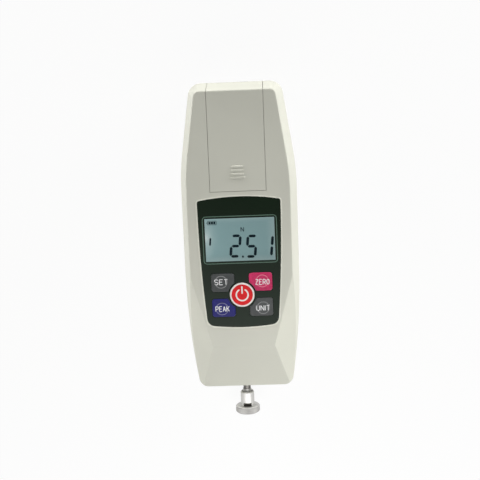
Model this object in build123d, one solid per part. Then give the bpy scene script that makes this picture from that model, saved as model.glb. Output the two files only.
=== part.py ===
from build123d import *
import math
import os

# Hand-held digital force gauge, all sizes in millimetres.
# The gauge lies on its back: +Z points out of the front face, +Y to the battery end and
# -Y along the measuring shaft. The origin is the centre of the four stand holes, on the
# rear face. Each function below returns one sub-part where it lies in the assembly.

os.makedirs("parts", exist_ok=True)

# ---- case ------------------------------------------------------------------------------
body_length = 204.6          # battery end to shaft end
battery_end_y = 102.3        # battery end, from the centre of the stand holes
body_width = 76.2            # at the waist, on the parting plane
body_depth = 38.0            # rear face to front face
parting_height = 19.0        # joint between the two housings
head_width = 59.4            # battery end, on the parting plane, before its corners are rounded
tail_width = 62.6            # shaft end, likewise
head_corner_radius = 8.6
tail_corner_radius = 6.6
least_corner = 0.6           # what the draft leaves of a corner's radius, at the least
shoulder_run = 57.1          # length of the flanks' taper to the battery end
shoulder_blend = 11.5        # length of flank that the shoulder arc takes on each side
belly_run = 45.3             # length of the flanks' taper to the shaft end
belly_blend = 36.5
front_draft = 13.8           # degrees, all round the front housing
rear_draft = 5.0             # degrees, all round the rear housing
crease_drop = 14.8           # from the fascia's lower corners to the crease of the front face
crease_half_width = 20.3     # inner end of each corner facet
facet_run = 48.0             # from the crease to where each facet leaves the edge of the front face
facet_rim = 0.34             # outside the tail's corner, where each facet meets the parting plane
nose_height = 20.6           # front edge of the shaft end above the rear face
side_wall = 2.4
front_wall = 2.6
rear_wall = 2.4
end_wall = 2.6               # shaft end
front_edge_radius = 0.9
rear_edge_radius = 2.6
seam_height = 0.5            # shadow groove round the parting line
seam_depth = 0.45

# ---- battery door ----------------------------------------------------------------------
door_width = 35.8
door_length = 68.7
door_wall = 2.0
door_gap = 0.25              # all round the door
hook_clearance = 0.3         # between the door's hooks and the rails they run under
rail_overlap = 2.2
rail_thickness = 1.3
hook_thickness = 1.2
hook_web = 1.1
grip_lengths = (9.7, 8.5, 7.7, 7.5)
grip_rise = 8.75             # first rib above the door's lower edge
grip_pitch = 2.37
grip_radius = 0.6

# ---- fascia and display ----------------------------------------------------------------
fascia_to_door = 3.35        # from the top of the fascia's arch to the door
fascia_arch = 2.4
fascia_length = 82.25        # top corners to bottom corners, before rounding
fascia_top_half_width = 27.0
fascia_bottom_half_width = 23.1
fascia_sag = 1.8
fascia_side_bow = 0.95
fascia_top_corner = 1.4
fascia_bottom_corner = 4.6
fascia_thickness = 1.0
fascia_recess = 1.2
recess_bevel = 0.4           # bevelled lip of the recess
fit_gap = 0.12               # between pieces that drop into a recess
view_width = 45.0            # visible part of the display
view_height = 28.2
view_drop = 25.77            # from the fascia's top corners to the middle of the display
window_margin = 2.0          # how far the window runs under the fascia
window_thickness = 1.0
window_ledge = 1.3
glass_border = 2.6           # display glass beyond its visible part
glass_thickness = 2.2
backlight_thickness = 2.8
backlight_inset = 3.2
display_frame_wall = 1.6
glass_gap = 1.8              # between the window and the display glass

# ---- main board ------------------------------------------------------------------------
board_width = 54.0
board_inset = 1.85           # board below the fascia's top corners
board_overhang = 2.6         # board below the fascia's bottom corners
board_thickness = 1.6
board_screw_x = 23.6
board_screw_low_edge = 3.8
board_screw_high_edge = 3.6
board_post_radius = 2.6
small_screw_radius = 1.1
small_screw_head = 2.1
small_screw_head_height = 1.5
small_screw_grip = 4.6       # thread length beyond the board
chip_height = 1.6
chips = ((0.0, 22.0, 12.0, 12.0),  # x, drop from the board's upper edge, width, height
         (-14.0, 50.0, 8.0, 6.0),
         (15.0, 48.0, 6.5, 5.0),
         (13.0, 14.0, 5.0, 4.0))

# ---- keys ------------------------------------------------------------------------------
power_drop = 62.3            # from the fascia's top corners to the power key
power_radius = 7.95
petal_inner_x = 4.8
petal_outer_x = 19.8
petal_near = 2.4             # from the power key's centre line to a petal
petal_far = 14.4
petal_hollow_radius = 9.4
petal_corner = 1.8
dome_x = 13.4
dome_near = 8.95             # from the power key's centre line to a dome
dome_radius = 4.2
dome_height = 0.35
key_gap = 0.22               # round each key in the fascia
key_stand_out = 0.35         # key face above the fascia
key_travel = 0.5
key_flange = 0.55
key_flange_thickness = 1.2
key_flange_gap = 0.3
key_stem_radius = 2.2
key_edge_radius = 0.3
switch_size = 6.0
switch_height = 3.5
plunger_radius = 1.75
plunger_stand_out = 0.8      # plunger above the switch
plunger_seat = 1.6           # plunger inside the switch at rest
plunger_gap = 0.08
switch_floor = 0.35          # room left under a fully pressed plunger

# ---- load train ------------------------------------------------------------------------
shaft_height = 13.5          # axis above the rear face
shaft_radius = 3.0           # M6
shaft_reach = 13.7           # beyond the shaft end of the case
thread_gap = 0.05            # radial, in every threaded joint
cell_width = 40.0
cell_length = 46.0
cell_thickness = 10.0
cell_end_gap = 22.3          # from the shaft end of the case
cell_slot = 2.0
cell_slot_wall = 8.0
cell_arm = 10.5              # thickness of each end arm
cell_hole_radius = 5.0
cell_hole_offset = 4.5
thread_depth = 9.0
gauge_length = 4.0
gauge_width = 8.0
gauge_thickness = 0.2
nut_across_flats = 10.0
nut_height = 5.0
overload_gap = 0.45          # each side of the collar
collar_radius = 5.4
collar_length = 3.0
stop_thickness = 2.0
stop_width = 18.0
stop_foot_width = 26.0
stop_foot_height = 2.0
stop_height = 20.4
stop_bore_gap = 0.5
nut_to_stop = 1.5
ring_radius = 4.4
ring_flange_radius = 5.2
ring_flange = 1.0
ring_bore_gap = 0.6

# ---- flat head -------------------------------------------------------------------------
head_end_gap = 5.6           # from the shaft end of the case
neck_radius = 4.65
neck_length = 9.8
disc_radius = 8.25
disc_thickness = 5.2
disc_edge = 1.1
neck_chamfer = 0.7
spanner_flats = 7.5
spanner_length = 2.0

# ---- mounting plate and stand holes ----------------------------------------------------
plate_width = 41.0
plate_thickness = 3.0
plate_end_gap = 6.3          # from the shaft end of the case
plate_to_holder = 2.0
plate_corner = 3.0
plate_lift = 2.0             # bosses under the plate
stand_spacing_x = 30.0
stand_spacing_y = 50.0
insert_radius = 3.5
insert_bore_radius = 1.65    # tapped M4
insert_boss_radius = 5.6
plate_screw_x = 16.5
plate_screw_low_edge = 7.0
plate_screw_high_edge = 4.0
plate_post_radius = 3.6
medium_screw_radius = 1.45
medium_screw_head = 2.7
medium_screw_head_height = 1.6
medium_screw_grip = 3.0
anchor_length = 12.0
anchor_width = 20.0
anchor_screw_x = 6.0
anchor_screw_radius = 2.0
anchor_screw_depth = 6.0
anchor_head_radius = 3.6
anchor_head_height = 1.8
cap_head_radius = 5.0
cap_head_height = 6.0
cap_socket_radius = 2.5
screw_gap = 0.2              # round screws in clearance holes and beyond screw ends

# ---- case screws -----------------------------------------------------------------------
case_screw_high = (23.4, 14.8)     # x, distance from the battery end
case_screw_low = (25.2, 15.8)      # x, distance from the shaft end
case_boss_radius = 3.6
case_screw_radius = 1.4
case_screw_head = 2.6
case_screw_head_height = 2.0
case_screw_sink = 9.0        # head seat above the rear face
case_screw_grip = 6.0        # thread length in the front boss
cross_width = 0.8
cross_depth = 0.9
cross_length = 3.0

# ---- batteries -------------------------------------------------------------------------
cell_radius = 7.1            # AA
cell_body_length = 49.4
cell_nub_radius = 2.7
cell_nub_length = 1.0
cell_gap = 0.2
holder_wall = 1.4
holder_floor = 0.8
holder_end_gap = 6.9         # from the battery end of the case
spring_length = 4.2
spring_radius = 3.2
spring_wire = 0.4
spring_turns = 4
contact_thickness = 0.4
contact_size = 9.0

# ---- derived places --------------------------------------------------------------------
shaft_end_y = battery_end_y - body_length
clear_y = 2 * body_length    # beyond every piece
waist_half = body_width / 2
front_height = body_depth - parting_height
face_half = waist_half - front_height * math.tan(math.radians(front_draft))
inner_front = body_depth - front_wall
door_bottom_y = battery_end_y - door_length
fascia_top_y = door_bottom_y - fascia_to_door - fascia_arch
fascia_bottom_y = fascia_top_y - fascia_length
crease_y = fascia_bottom_y - crease_drop
fascia_floor = body_depth - fascia_recess
fascia_face = fascia_floor + fascia_thickness
window_floor = fascia_floor - window_thickness
view_centre_y = fascia_top_y - view_drop
power_y = fascia_top_y - power_drop
display_top = window_floor - glass_gap
glass_bottom = display_top - glass_thickness
board_face = glass_bottom - backlight_thickness
board_back = board_face - board_thickness
board_top_y = fascia_top_y - board_inset
board_bottom_y = fascia_bottom_y - board_overhang
glass_width = view_width + 2 * glass_border
glass_height = view_height + 2 * glass_border
key_face = fascia_face + key_stand_out
flange_top = inner_front - key_flange_gap
flange_bottom = flange_top - key_flange_thickness
switch_top = board_face + switch_height
plunger_top = switch_top + plunger_stand_out
plunger_bottom = switch_top - plunger_seat
door_half = door_width / 2
rail_top = body_depth - door_wall - hook_clearance
rail_bottom = rail_top - rail_thickness
hook_top = rail_bottom - hook_clearance
hook_bottom = hook_top - hook_thickness
rail_inner = door_half + door_gap - rail_overlap
plate_bottom = rear_wall + plate_lift
plate_top = plate_bottom + plate_thickness
cell_bottom_y = shaft_end_y + cell_end_gap
cell_top_y = cell_bottom_y + cell_length
cell_middle_y = cell_bottom_y + cell_length / 2
nut_end_y = cell_bottom_y - nut_height
upper_stop_y = nut_end_y - nut_to_stop
collar_top_y = upper_stop_y - stop_thickness - overload_gap
collar_end_y = collar_top_y - collar_length
lower_stop_y = collar_end_y - overload_gap
stop_end_y = lower_stop_y - stop_thickness
anchor_top_y = cell_top_y + anchor_length
shaft_tip_y = shaft_end_y - shaft_reach
head_top_y = shaft_end_y - head_end_gap
disc_top_y = head_top_y - neck_length
disc_face_y = disc_top_y - disc_thickness
holder_length = (cell_body_length + cell_nub_length + spring_length
                 + 2 * contact_thickness + 2 * holder_wall + cell_gap)
holder_bottom_y = battery_end_y - holder_end_gap - holder_length
holder_half = 2 * cell_radius + cell_gap / 2 + cell_gap + holder_wall
plate_bottom_y = shaft_end_y + plate_end_gap
plate_top_y = holder_bottom_y - plate_to_holder
low_cell_z = rear_wall + holder_floor + cell_gap + cell_radius
high_cell_z = low_cell_z + 2 * cell_radius + cell_gap
cell_x = cell_radius + cell_gap / 2


# ---- helpers ---------------------------------------------------------------------------
def block(x0, x1, y0, y1, z0, z1):
    """Box between two corners."""
    middle = Pos((x0 + x1) / 2, (y0 + y1) / 2, (z0 + z1) / 2)
    return middle * Box(abs(x1 - x0), abs(y1 - y0), abs(z1 - z0))


def post(x, y, radius, z0, z1):
    """Upright cylinder."""
    return Pos(x, y, (z0 + z1) / 2) * Cylinder(radius, abs(z1 - z0))


def rod(radius, y0, y1, x=0.0, z=shaft_height):
    """Cylinder lying along Y."""
    return Pos(x, (y0 + y1) / 2, z) * Rot(90, 0, 0) * Cylinder(radius, abs(y1 - y0))


def beyond(origin, normal):
    """Everything on the outer side of a plane, as a large block."""
    reach = 2 * body_length
    return Plane(origin, z_dir=normal) * Pos(0, 0, reach / 2) * Box(reach, reach, reach)


def inset_polygon(points, inset):
    """Closed polygon with every side moved inwards by the same distance."""
    count = len(points)
    moved = []
    for i, (x, y) in enumerate(points):
        ax, ay = x - points[i - 1][0], y - points[i - 1][1]
        bx, by = points[(i + 1) % count][0] - x, points[(i + 1) % count][1] - y
        a, b = math.hypot(ax, ay), math.hypot(bx, by)
        ax, ay, bx, by = ax / a, ay / a, bx / b, by / b
        share = inset / (1 + ax * bx + ay * by)
        moved.append((x - (ay + by) * share, y + (ax + bx) * share))
    return moved


def turn_radius(blend, run, rise):
    """Radius of the arc that takes the given length of a flank which turns by rise over run."""
    return blend / math.tan(math.atan2(rise, run) / 2)


def outline(inset=0.0):
    """Plan outline of the case on the parting plane."""
    shoulder = turn_radius(shoulder_blend, shoulder_run, waist_half - head_width / 2)
    belly = turn_radius(belly_blend, belly_run, waist_half - tail_width / 2)
    least = front_height * math.tan(math.radians(front_draft)) + least_corner
    head = max(head_corner_radius - inset, least)
    tail = max(tail_corner_radius - inset, least)
    right = [(tail_width / 2, shaft_end_y), (waist_half, shaft_end_y + belly_run),
             (waist_half, battery_end_y - shoulder_run), (head_width / 2, battery_end_y)]
    left = [(-x, y) for x, y in reversed(right)]
    radii = [tail, belly, shoulder, head]
    path = FilletPolyline(*inset_polygon(right + left, inset),
                          radius=radii + radii[::-1], close=True)
    return make_face(path.edges())


# ---- case ------------------------------------------------------------------------------
def front_form(inset, depth_inset):
    """Solid form of the front housing, shrunk by the given wall."""
    form = extrude(Pos(0, 0, parting_height) * outline(inset),
                   front_height - depth_inset, taper=front_draft)
    drop = body_depth - nose_height
    tilt = math.atan2(drop, crease_y - shaft_end_y)
    normal = Vector(0, -math.sin(tilt), math.cos(tilt))
    form -= beyond(Vector(0, crease_y, body_depth) - normal * inset, normal)
    for side in (-1, 1):
        start = Vector(side * crease_half_width, crease_y, body_depth)
        along = Vector(side * face_half, crease_y + facet_run, body_depth) - start
        down = Vector(side * (tail_width / 2 + facet_rim), shaft_end_y, parting_height) - start
        normal = (down.cross(along) * side).normalized()
        form -= beyond(start - normal * inset, normal)
    return form


def rounded(form):
    """Front form with every edge above the parting line rounded."""
    edges = [e for e in form.edges() if e.center().Z > parting_height + thread_gap]
    return fillet(edges, front_edge_radius)


def rear_form(inset, depth_inset):
    """Solid form of the rear housing, shrunk by the given wall."""
    form = extrude(outline(inset), parting_height - depth_inset, taper=rear_draft)
    return Pos(0, 0, parting_height) * mirror(form, Plane.XY)


def case_screw_places():
    """Centres of the four case screws."""
    rows = ((case_screw_high[0], battery_end_y - case_screw_high[1]),
            (case_screw_low[0], shaft_end_y + case_screw_low[1]))
    return [(side * x, y) for side in (-1, 1) for x, y in rows]


def fascia_outline(grow=0.0):
    """Outline of the fascia: arched ends, slightly bowed sides, rounded corners."""
    top = (fascia_top_half_width + grow, fascia_top_y + grow)
    low = (fascia_bottom_half_width + grow, fascia_bottom_y - grow)
    middle = ((top[0] + low[0]) / 2 + fascia_side_bow, (top[1] + low[1]) / 2)
    edges = [ThreePointArc((-top[0], top[1]), (0, top[1] + fascia_arch), top),
             ThreePointArc(top, middle, low),
             ThreePointArc(low, (0, low[1] - fascia_sag), (-low[0], low[1])),
             ThreePointArc((-low[0], low[1]), (-middle[0], middle[1]), (-top[0], top[1]))]
    face = make_face(edges)
    face = fillet(face.vertices().sort_by(Axis.Y)[:2], fascia_bottom_corner + grow)
    return fillet(face.vertices().sort_by(Axis.Y)[-2:], fascia_top_corner + grow)


def petal_outline(side, row):
    """Outline of one of the four keys round the power key. row is 1 above it, -1 below."""
    width = petal_outer_x - petal_inner_x
    height = petal_far - petal_near
    centre = (side * (petal_inner_x + width / 2), power_y + row * (petal_near + height / 2))
    face = Pos(*centre) * RectangleRounded(width, height, petal_corner)
    face -= Pos(0, power_y) * Circle(petal_hollow_radius)
    tips = [v for v in face.vertices()
            if abs((Vector(v.X, v.Y) - Vector(0, power_y)).length - petal_hollow_radius) < 0.01]
    return fillet(tips, petal_corner / 2)


def key_outlines():
    """Name and outline of each key."""
    places = {"set": (-1, 1), "zero": (1, 1), "peak": (-1, -1), "unit": (1, -1)}
    shapes = {name: petal_outline(*place) for name, place in places.items()}
    shapes["power"] = Pos(0, power_y) * Circle(power_radius)
    return shapes


def key_centre(name):
    """Where the key's stem and switch are."""
    if name == "power":
        return 0.0, power_y
    side = -1 if name in ("set", "peak") else 1
    row = 1 if name in ("set", "zero") else -1
    return side * dome_x, power_y + row * dome_near


def view_block(margin, z0, z1):
    """Block behind the display's visible part, larger by a margin on every side."""
    half_w = view_width / 2 + margin
    half_h = view_height / 2 + margin
    return block(-half_w, half_w, view_centre_y - half_h, view_centre_y + half_h, z0, z1)


def board_screw_places():
    """Centres of the four board screws."""
    return [(side * board_screw_x, y) for side in (-1, 1)
            for y in (board_bottom_y + board_screw_low_edge, board_top_y - board_screw_high_edge)]


def front_housing():
    """Front shell with fascia recess, key holes, display frame, bosses and door rails."""
    shell = rounded(front_form(0, 0)) - front_form(side_wall, front_wall)
    inside = view_block(glass_border + fit_gap + display_frame_wall, glass_bottom, inner_front)
    for x, y in board_screw_places():
        inside += post(x, y, board_post_radius, board_face, inner_front)
    for x, y in case_screw_places():
        inside += post(x, y, case_boss_radius, parting_height, inner_front)
    for side in (-1, 1):
        inside += block(side * rail_inner, side * (door_half + door_gap + rail_overlap),
                        door_bottom_y + rail_overlap, battery_end_y, rail_bottom, rail_top)
    shell += inside & front_form(side_wall / 2, front_wall / 2)
    shell -= extrude(Pos(0, 0, fascia_floor) * fascia_outline(fit_gap), 2 * fascia_recess)
    shell -= loft([Pos(0, 0, body_depth - recess_bevel) * fascia_outline(fit_gap),
                   Pos(0, 0, body_depth + recess_bevel) * fascia_outline(fit_gap + 2 * recess_bevel)],
                  ruled=True)
    shell -= view_block(window_margin + fit_gap, window_floor, body_depth)
    shell -= view_block(window_margin - window_ledge, board_face, body_depth)
    shell -= view_block(glass_border + fit_gap, board_face, display_top)
    for shape in key_outlines().values():
        shell -= extrude(Pos(0, 0, flange_top) * offset(shape, key_gap), fascia_recess + front_wall)
    cut_half = door_half + door_gap
    shell -= block(-cut_half, cut_half, door_bottom_y - door_gap, clear_y,
                   rail_top, 2 * body_depth)
    shell -= block(-rail_inner, rail_inner, door_bottom_y + rail_overlap, clear_y,
                   parting_height, 2 * body_depth)
    shell -= block(-cut_half, cut_half, battery_end_y - 4 * side_wall, clear_y,
                   parting_height - 1, 2 * body_depth)
    for x, y in case_screw_places():
        shell -= post(x, y, case_screw_radius + thread_gap, parting_height - 1,
                      parting_height + case_screw_grip)
    for x, y in board_screw_places():
        shell -= post(x, y, small_screw_radius + thread_gap, board_face - 1,
                      board_face + small_screw_grip + screw_gap)
    return shell


def rear_housing():
    """Rear shell with screw wells, plate bosses, stand holes and the shaft hole."""
    form = rear_form(0, 0)
    outer = fillet(form.faces().sort_by(Axis.Z)[0].edges(), rear_edge_radius)
    seam = extrude(Pos(0, 0, parting_height) * (outline(-1) - outline(seam_depth)), -seam_height)
    shell = outer - seam - rear_form(side_wall, rear_wall)
    inside = block(-ring_flange_radius - side_wall, ring_flange_radius + side_wall,
                   shaft_end_y, shaft_end_y + end_wall, rear_wall, parting_height)
    for x, y in case_screw_places():
        inside += post(x, y, case_boss_radius, rear_wall / 2, parting_height)
    for x, y in plate_screw_places():
        inside += post(x, y, plate_post_radius, rear_wall / 2, plate_bottom)
    for x, y in stand_places():
        inside += post(x, y, insert_boss_radius, rear_wall / 2, plate_bottom)
    shell += inside & rear_form(side_wall / 2, 0)
    for x, y in case_screw_places():
        shell -= post(x, y, case_screw_head + screw_gap, -1, case_screw_sink)
        shell -= post(x, y, case_screw_radius + screw_gap, 0, parting_height + 1)
    for x, y in plate_screw_places():
        shell -= post(x, y, medium_screw_radius + thread_gap,
                      plate_bottom - medium_screw_grip - screw_gap, plate_bottom + 1)
    for x, y in stand_places():
        shell -= post(x, y, insert_radius + thread_gap, -1, plate_bottom + 1)
    shell -= rod(ring_radius + thread_gap, -clear_y, shaft_end_y + 2 * end_wall)
    ring_seat = shaft_end_y + end_wall
    shell -= rod(ring_flange_radius + fit_gap, ring_seat, ring_seat + 2 * end_wall)
    return shell


def screw(x, y, seat, up, radius, length, head_radius, head_height):
    """Cross-head screw. Its head rests on the seat and its shank points up (1) or down (-1)."""
    shank = post(x, y, radius, seat - up * 0.01, seat + up * length)
    head = post(x, y, head_radius, seat - up * head_height, seat)
    body = shank + head
    face = seat - up * head_height
    for turn in (0, 90):
        slot = Box(cross_length, cross_width, 2 * cross_depth)
        body -= Pos(x, y, face) * Rot(0, 0, turn) * slot
    return body


def housing_screws():
    """Four case screws, driven from the rear into the front bosses."""
    length = parting_height - case_screw_sink + case_screw_grip - screw_gap
    return [screw(x, y, case_screw_sink, 1, case_screw_radius, length,
                  case_screw_head, case_screw_head_height) for x, y in case_screw_places()]


# ---- battery door and batteries --------------------------------------------------------
def battery_door():
    """Door over the front and end of the battery bay, with hooked sides and finger ribs."""
    blank = block(-door_half, door_half, door_bottom_y, clear_y,
                  parting_height + door_gap, 2 * body_depth)
    door = (rounded(front_form(0, 0)) & blank) - front_form(door_wall, door_wall)
    hook_start = door_bottom_y + 2 * rail_overlap
    hook_end = battery_end_y - 4 * side_wall
    for side in (-1, 1):
        web_outer = rail_inner - hook_clearance
        door += block(side * (web_outer - hook_web), side * web_outer, hook_start, hook_end,
                      hook_bottom, body_depth - door_wall / 2)
        door += block(side * (web_outer - hook_web), side * (door_half - hook_clearance),
                      hook_start, hook_end, hook_bottom, hook_top)
    for i, length in enumerate(grip_lengths):
        rib = Rot(0, 90, 0) * Cylinder(grip_radius, length)
        rib = fillet(rib.edges(), grip_radius * 0.6)
        y = door_bottom_y + grip_rise + i * grip_pitch
        door += Pos(0, y, body_depth - grip_radius * 0.25) * rib
    return door


def battery_places():
    """Centre line and direction of each battery: x, z, and 1 where its positive end is up."""
    return [(side * cell_x, z, side if z == low_cell_z else -side)
            for z in (low_cell_z, high_cell_z) for side in (-1, 1)]


def battery_low_end(direction):
    """Lower end of a battery: on its contact plate or on its spring."""
    floor = holder_bottom_y + holder_wall + contact_thickness
    return floor + (spring_length if direction > 0 else cell_nub_length)


def battery_cells():
    """Four AA batteries in two layers, each turned against its neighbours."""
    cells = []
    for x, z, direction in battery_places():
        low = battery_low_end(direction)
        high = low + cell_body_length
        can = rod(cell_radius, low, high, x, z)
        can = chamfer(can.edges(), 0.5)
        tip = high if direction > 0 else low
        cells.append(can + rod(cell_nub_radius, tip - direction * 0.5,
                               tip + direction * cell_nub_length, x, z))
    return cells


def battery_holder():
    """Open tray for the four batteries, standing on the rear housing."""
    low, high = holder_bottom_y, holder_bottom_y + holder_length
    top = high_cell_z
    tray = block(-holder_half, holder_half, low, high, rear_wall, top)
    inner = holder_half - holder_wall
    return tray - block(-inner, inner, low + holder_wall, high - holder_wall,
                        rear_wall + holder_floor, top + 1)


def battery_contacts():
    """Contact plates on both end walls, one behind each battery end."""
    low = holder_bottom_y + holder_wall
    high = holder_bottom_y + holder_length - holder_wall
    half = contact_size / 2
    plates = []
    for x, z, direction in battery_places():
        for start in (low, high - contact_thickness):
            plates.append(block(x - half, x + half, start, start + contact_thickness,
                                z - half, z + half))
    return plates


def battery_springs():
    """One coil spring behind the negative end of each battery."""
    springs = []
    pitch = (spring_length - 2 * spring_wire) / spring_turns
    for x, z, direction in battery_places():
        path = Helix(pitch, pitch * spring_turns, spring_radius)
        profile = Plane(path @ 0, z_dir=path % 0) * Circle(spring_wire)
        coil = sweep(profile, path=path)
        if direction > 0:
            base = holder_bottom_y + holder_wall + contact_thickness + spring_wire
            springs.append(Pos(x, base, z) * Rot(-90, 0, 0) * coil)
        else:
            base = (holder_bottom_y + holder_length - holder_wall - contact_thickness
                    - spring_wire)
            springs.append(Pos(x, base, z) * Rot(90, 0, 0) * coil)
    return springs


# ---- display, board and keys -----------------------------------------------------------
def fascia_panel():
    """Glossy panel with the display opening and a hole for each key."""
    panel = extrude(Pos(0, 0, fascia_floor) * fascia_outline(), fascia_thickness)
    panel -= view_block(0, fascia_floor - 1, body_depth)
    for shape in key_outlines().values():
        panel -= extrude(Pos(0, 0, fascia_floor - 1) * offset(shape, key_gap),
                         fascia_thickness + 2)
    return panel


def display_window():
    """Clear window under the fascia."""
    return view_block(window_margin, window_floor, fascia_floor)


def lcd_glass():
    """Display glass in its frame."""
    return view_block(glass_border, glass_bottom, display_top)


def lcd_backlight():
    """Light guide between the display glass and the board."""
    half = glass_height / 2 - backlight_inset
    return block(-glass_width / 2, glass_width / 2, view_centre_y - half, view_centre_y + half,
                 board_face, glass_bottom)


def lcd_connectors():
    """Two rubber strips that join the glass to the board, above and below the backlight."""
    strips = []
    for side in (-1, 1):
        near = view_centre_y + side * (glass_height / 2 - backlight_inset + fit_gap)
        far = view_centre_y + side * (glass_height / 2 - fit_gap)
        strips.append(block(-glass_width / 2 + 1, glass_width / 2 - 1, near, far,
                            board_face, glass_bottom))
    return strips


def main_board():
    """Circuit board with its four screw holes."""
    board = block(-board_width / 2, board_width / 2, board_bottom_y, board_top_y,
                  board_back, board_face)
    for x, y in board_screw_places():
        board -= post(x, y, small_screw_radius + screw_gap, board_back - 1, board_face + 1)
    return board


def board_screws():
    """Four screws that hold the board to the front housing's posts."""
    return [screw(x, y, board_back, 1, small_screw_radius, board_thickness + small_screw_grip,
                  small_screw_head, small_screw_head_height) for x, y in board_screw_places()]


def board_chips():
    """Processor, converter, amplifier and regulator on the back of the board."""
    bodies = []
    for x, drop, width, height in chips:
        y = board_top_y - drop
        bodies.append(block(x - width / 2, x + width / 2, y - height / 2, y + height / 2,
                            board_back - chip_height, board_back))
    return bodies


def tact_switches():
    """Five switches on the board, one under each key."""
    bodies = []
    for name in key_outlines():
        x, y = key_centre(name)
        half = switch_size / 2
        body = block(x - half, x + half, y - half, y + half, board_face, switch_top)
        body -= post(x, y, plunger_radius + plunger_gap,
                     plunger_bottom - key_travel - switch_floor, switch_top + 1)
        bodies.append(body)
    return bodies


def switch_plunger(name):
    """Plunger of one switch."""
    x, y = key_centre(name)
    return post(x, y, plunger_radius, plunger_bottom, plunger_top)


def key(name, shape):
    """Key cap with its retaining flange below the front wall, its stem and its raised dome."""
    x, y = key_centre(name)
    cap = extrude(Pos(0, 0, flange_bottom) * shape, key_face - flange_bottom)
    cap = fillet(cap.faces().sort_by(Axis.Z)[-1].edges(), key_edge_radius)
    cap += extrude(Pos(0, 0, flange_bottom) * offset(shape, key_flange), key_flange_thickness)
    cap += post(x, y, key_stem_radius, plunger_top, flange_bottom)
    if name != "power":
        dome = post(x, y, dome_radius, key_face - 0.5, key_face + dome_height)
        cap += fillet(dome.faces().sort_by(Axis.Z)[-1].edges(), dome_height * 0.8)
    return cap


# ---- mounting plate, load cell and shaft -----------------------------------------------
def stand_places():
    """Centres of the four stand holes."""
    return [(sx * stand_spacing_x / 2, sy * stand_spacing_y / 2)
            for sx in (-1, 1) for sy in (-1, 1)]


def plate_screw_places():
    """Centres of the four plate screws."""
    return [(side * plate_screw_x, y) for side in (-1, 1)
            for y in (plate_bottom_y + plate_screw_low_edge, plate_top_y - plate_screw_high_edge)]


def anchor_places():
    """Centres of the screws that hold the anchor block."""
    return [(side * anchor_screw_x, (cell_top_y + anchor_top_y) / 2) for side in (-1, 1)]


def stop_screw_places():
    """Centres of the screws that hold the overload stop."""
    x = (stop_width + stop_foot_width) / 4
    return [(side * x, (upper_stop_y + stop_end_y) / 2) for side in (-1, 1)]


def mounting_plate():
    """Aluminium plate that carries the load cell and the stand holes."""
    plate = block(-plate_width / 2, plate_width / 2, plate_bottom_y, plate_top_y,
                  plate_bottom, plate_top)
    plate = fillet(plate.edges().filter_by(Axis.Z), plate_corner)
    for x, y in stand_places():
        plate -= post(x, y, insert_radius + thread_gap, plate_bottom - 1, plate_top + 1)
    for x, y in plate_screw_places():
        plate -= post(x, y, medium_screw_radius + screw_gap, plate_bottom - 1, plate_top + 1)
    for x, y in anchor_places():
        plate -= post(x, y, anchor_screw_radius + screw_gap, plate_bottom - 1, plate_top + 1)
        plate -= post(x, y, anchor_head_radius + screw_gap, plate_bottom - 1,
                      plate_bottom + anchor_head_height)
    for x, y in stop_screw_places():
        plate -= post(x, y, small_screw_radius + thread_gap, plate_bottom - 1, plate_top + 1)
    return plate


def plate_screws():
    """Four screws through the plate into the rear housing."""
    return [screw(x, y, plate_top, -1, medium_screw_radius, plate_thickness + medium_screw_grip,
                  medium_screw_head, medium_screw_head_height) for x, y in plate_screw_places()]


def stand_inserts():
    """Four tapped inserts, flush with the rear face, that pass through housing and plate."""
    return [post(x, y, insert_radius, 0, plate_top) - post(x, y, insert_bore_radius, -1, plate_top + 1)
            for x, y in stand_places()]


def anchor_block():
    """Block on the plate that holds the fixed end of the load cell."""
    top = shaft_height + cell_thickness / 2
    half = anchor_width / 2
    body = block(-half, half, cell_top_y, anchor_top_y, plate_top, top)
    body -= rod(shaft_radius + thread_gap, cell_top_y - 1, anchor_top_y + 1)
    for x, y in anchor_places():
        body -= post(x, y, anchor_screw_radius + thread_gap, plate_top - 1,
                     plate_top + anchor_screw_depth)
    return body


def anchor_screws():
    """Two screws from under the plate into the anchor block."""
    seat = plate_bottom + anchor_head_height
    length = plate_top - seat + anchor_screw_depth - screw_gap
    return [screw(x, y, seat, 1, anchor_screw_radius, length,
                  anchor_head_radius, anchor_head_height - thread_gap) for x, y in anchor_places()]


def load_cell():
    """S-shaped bending beam: two end arms, two slots and a twin-hole gauge section."""
    half = cell_width / 2
    z0, z1 = shaft_height - cell_thickness / 2, shaft_height + cell_thickness / 2
    beam = block(-half, half, cell_bottom_y, cell_top_y, z0, z1)
    low_slot = cell_bottom_y + cell_arm
    high_slot = cell_top_y - cell_arm
    beam -= block(-half + cell_slot_wall, half + 1, low_slot, low_slot + cell_slot, z0 - 1, z1 + 1)
    beam -= block(-half - 1, half - cell_slot_wall, high_slot - cell_slot, high_slot, z0 - 1, z1 + 1)
    for side in (-1, 1):
        beam -= post(side * cell_hole_offset, cell_middle_y, cell_hole_radius, z0 - 1, z1 + 1)
    beam -= block(-cell_hole_offset, cell_hole_offset, cell_middle_y - cell_hole_radius,
                  cell_middle_y + cell_hole_radius, z0 - 1, z1 + 1)
    beam -= rod(shaft_radius + thread_gap, cell_bottom_y - 1, cell_bottom_y + thread_depth)
    beam -= rod(shaft_radius + thread_gap, cell_top_y - thread_depth, cell_top_y + 1)
    return beam


def strain_gauges():
    """Four foil gauges inside the twin hole, two above and two below."""
    pads = []
    reach = cell_hole_radius
    for side in (-1, 1):
        x = side * gauge_length * 0.55
        for row in (-1, 1):
            wall = cell_middle_y + row * reach
            pads.append(block(x - gauge_length / 2, x + gauge_length / 2,
                              wall, wall - row * gauge_thickness,
                              shaft_height - gauge_width / 2, shaft_height + gauge_width / 2))
    return pads


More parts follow.
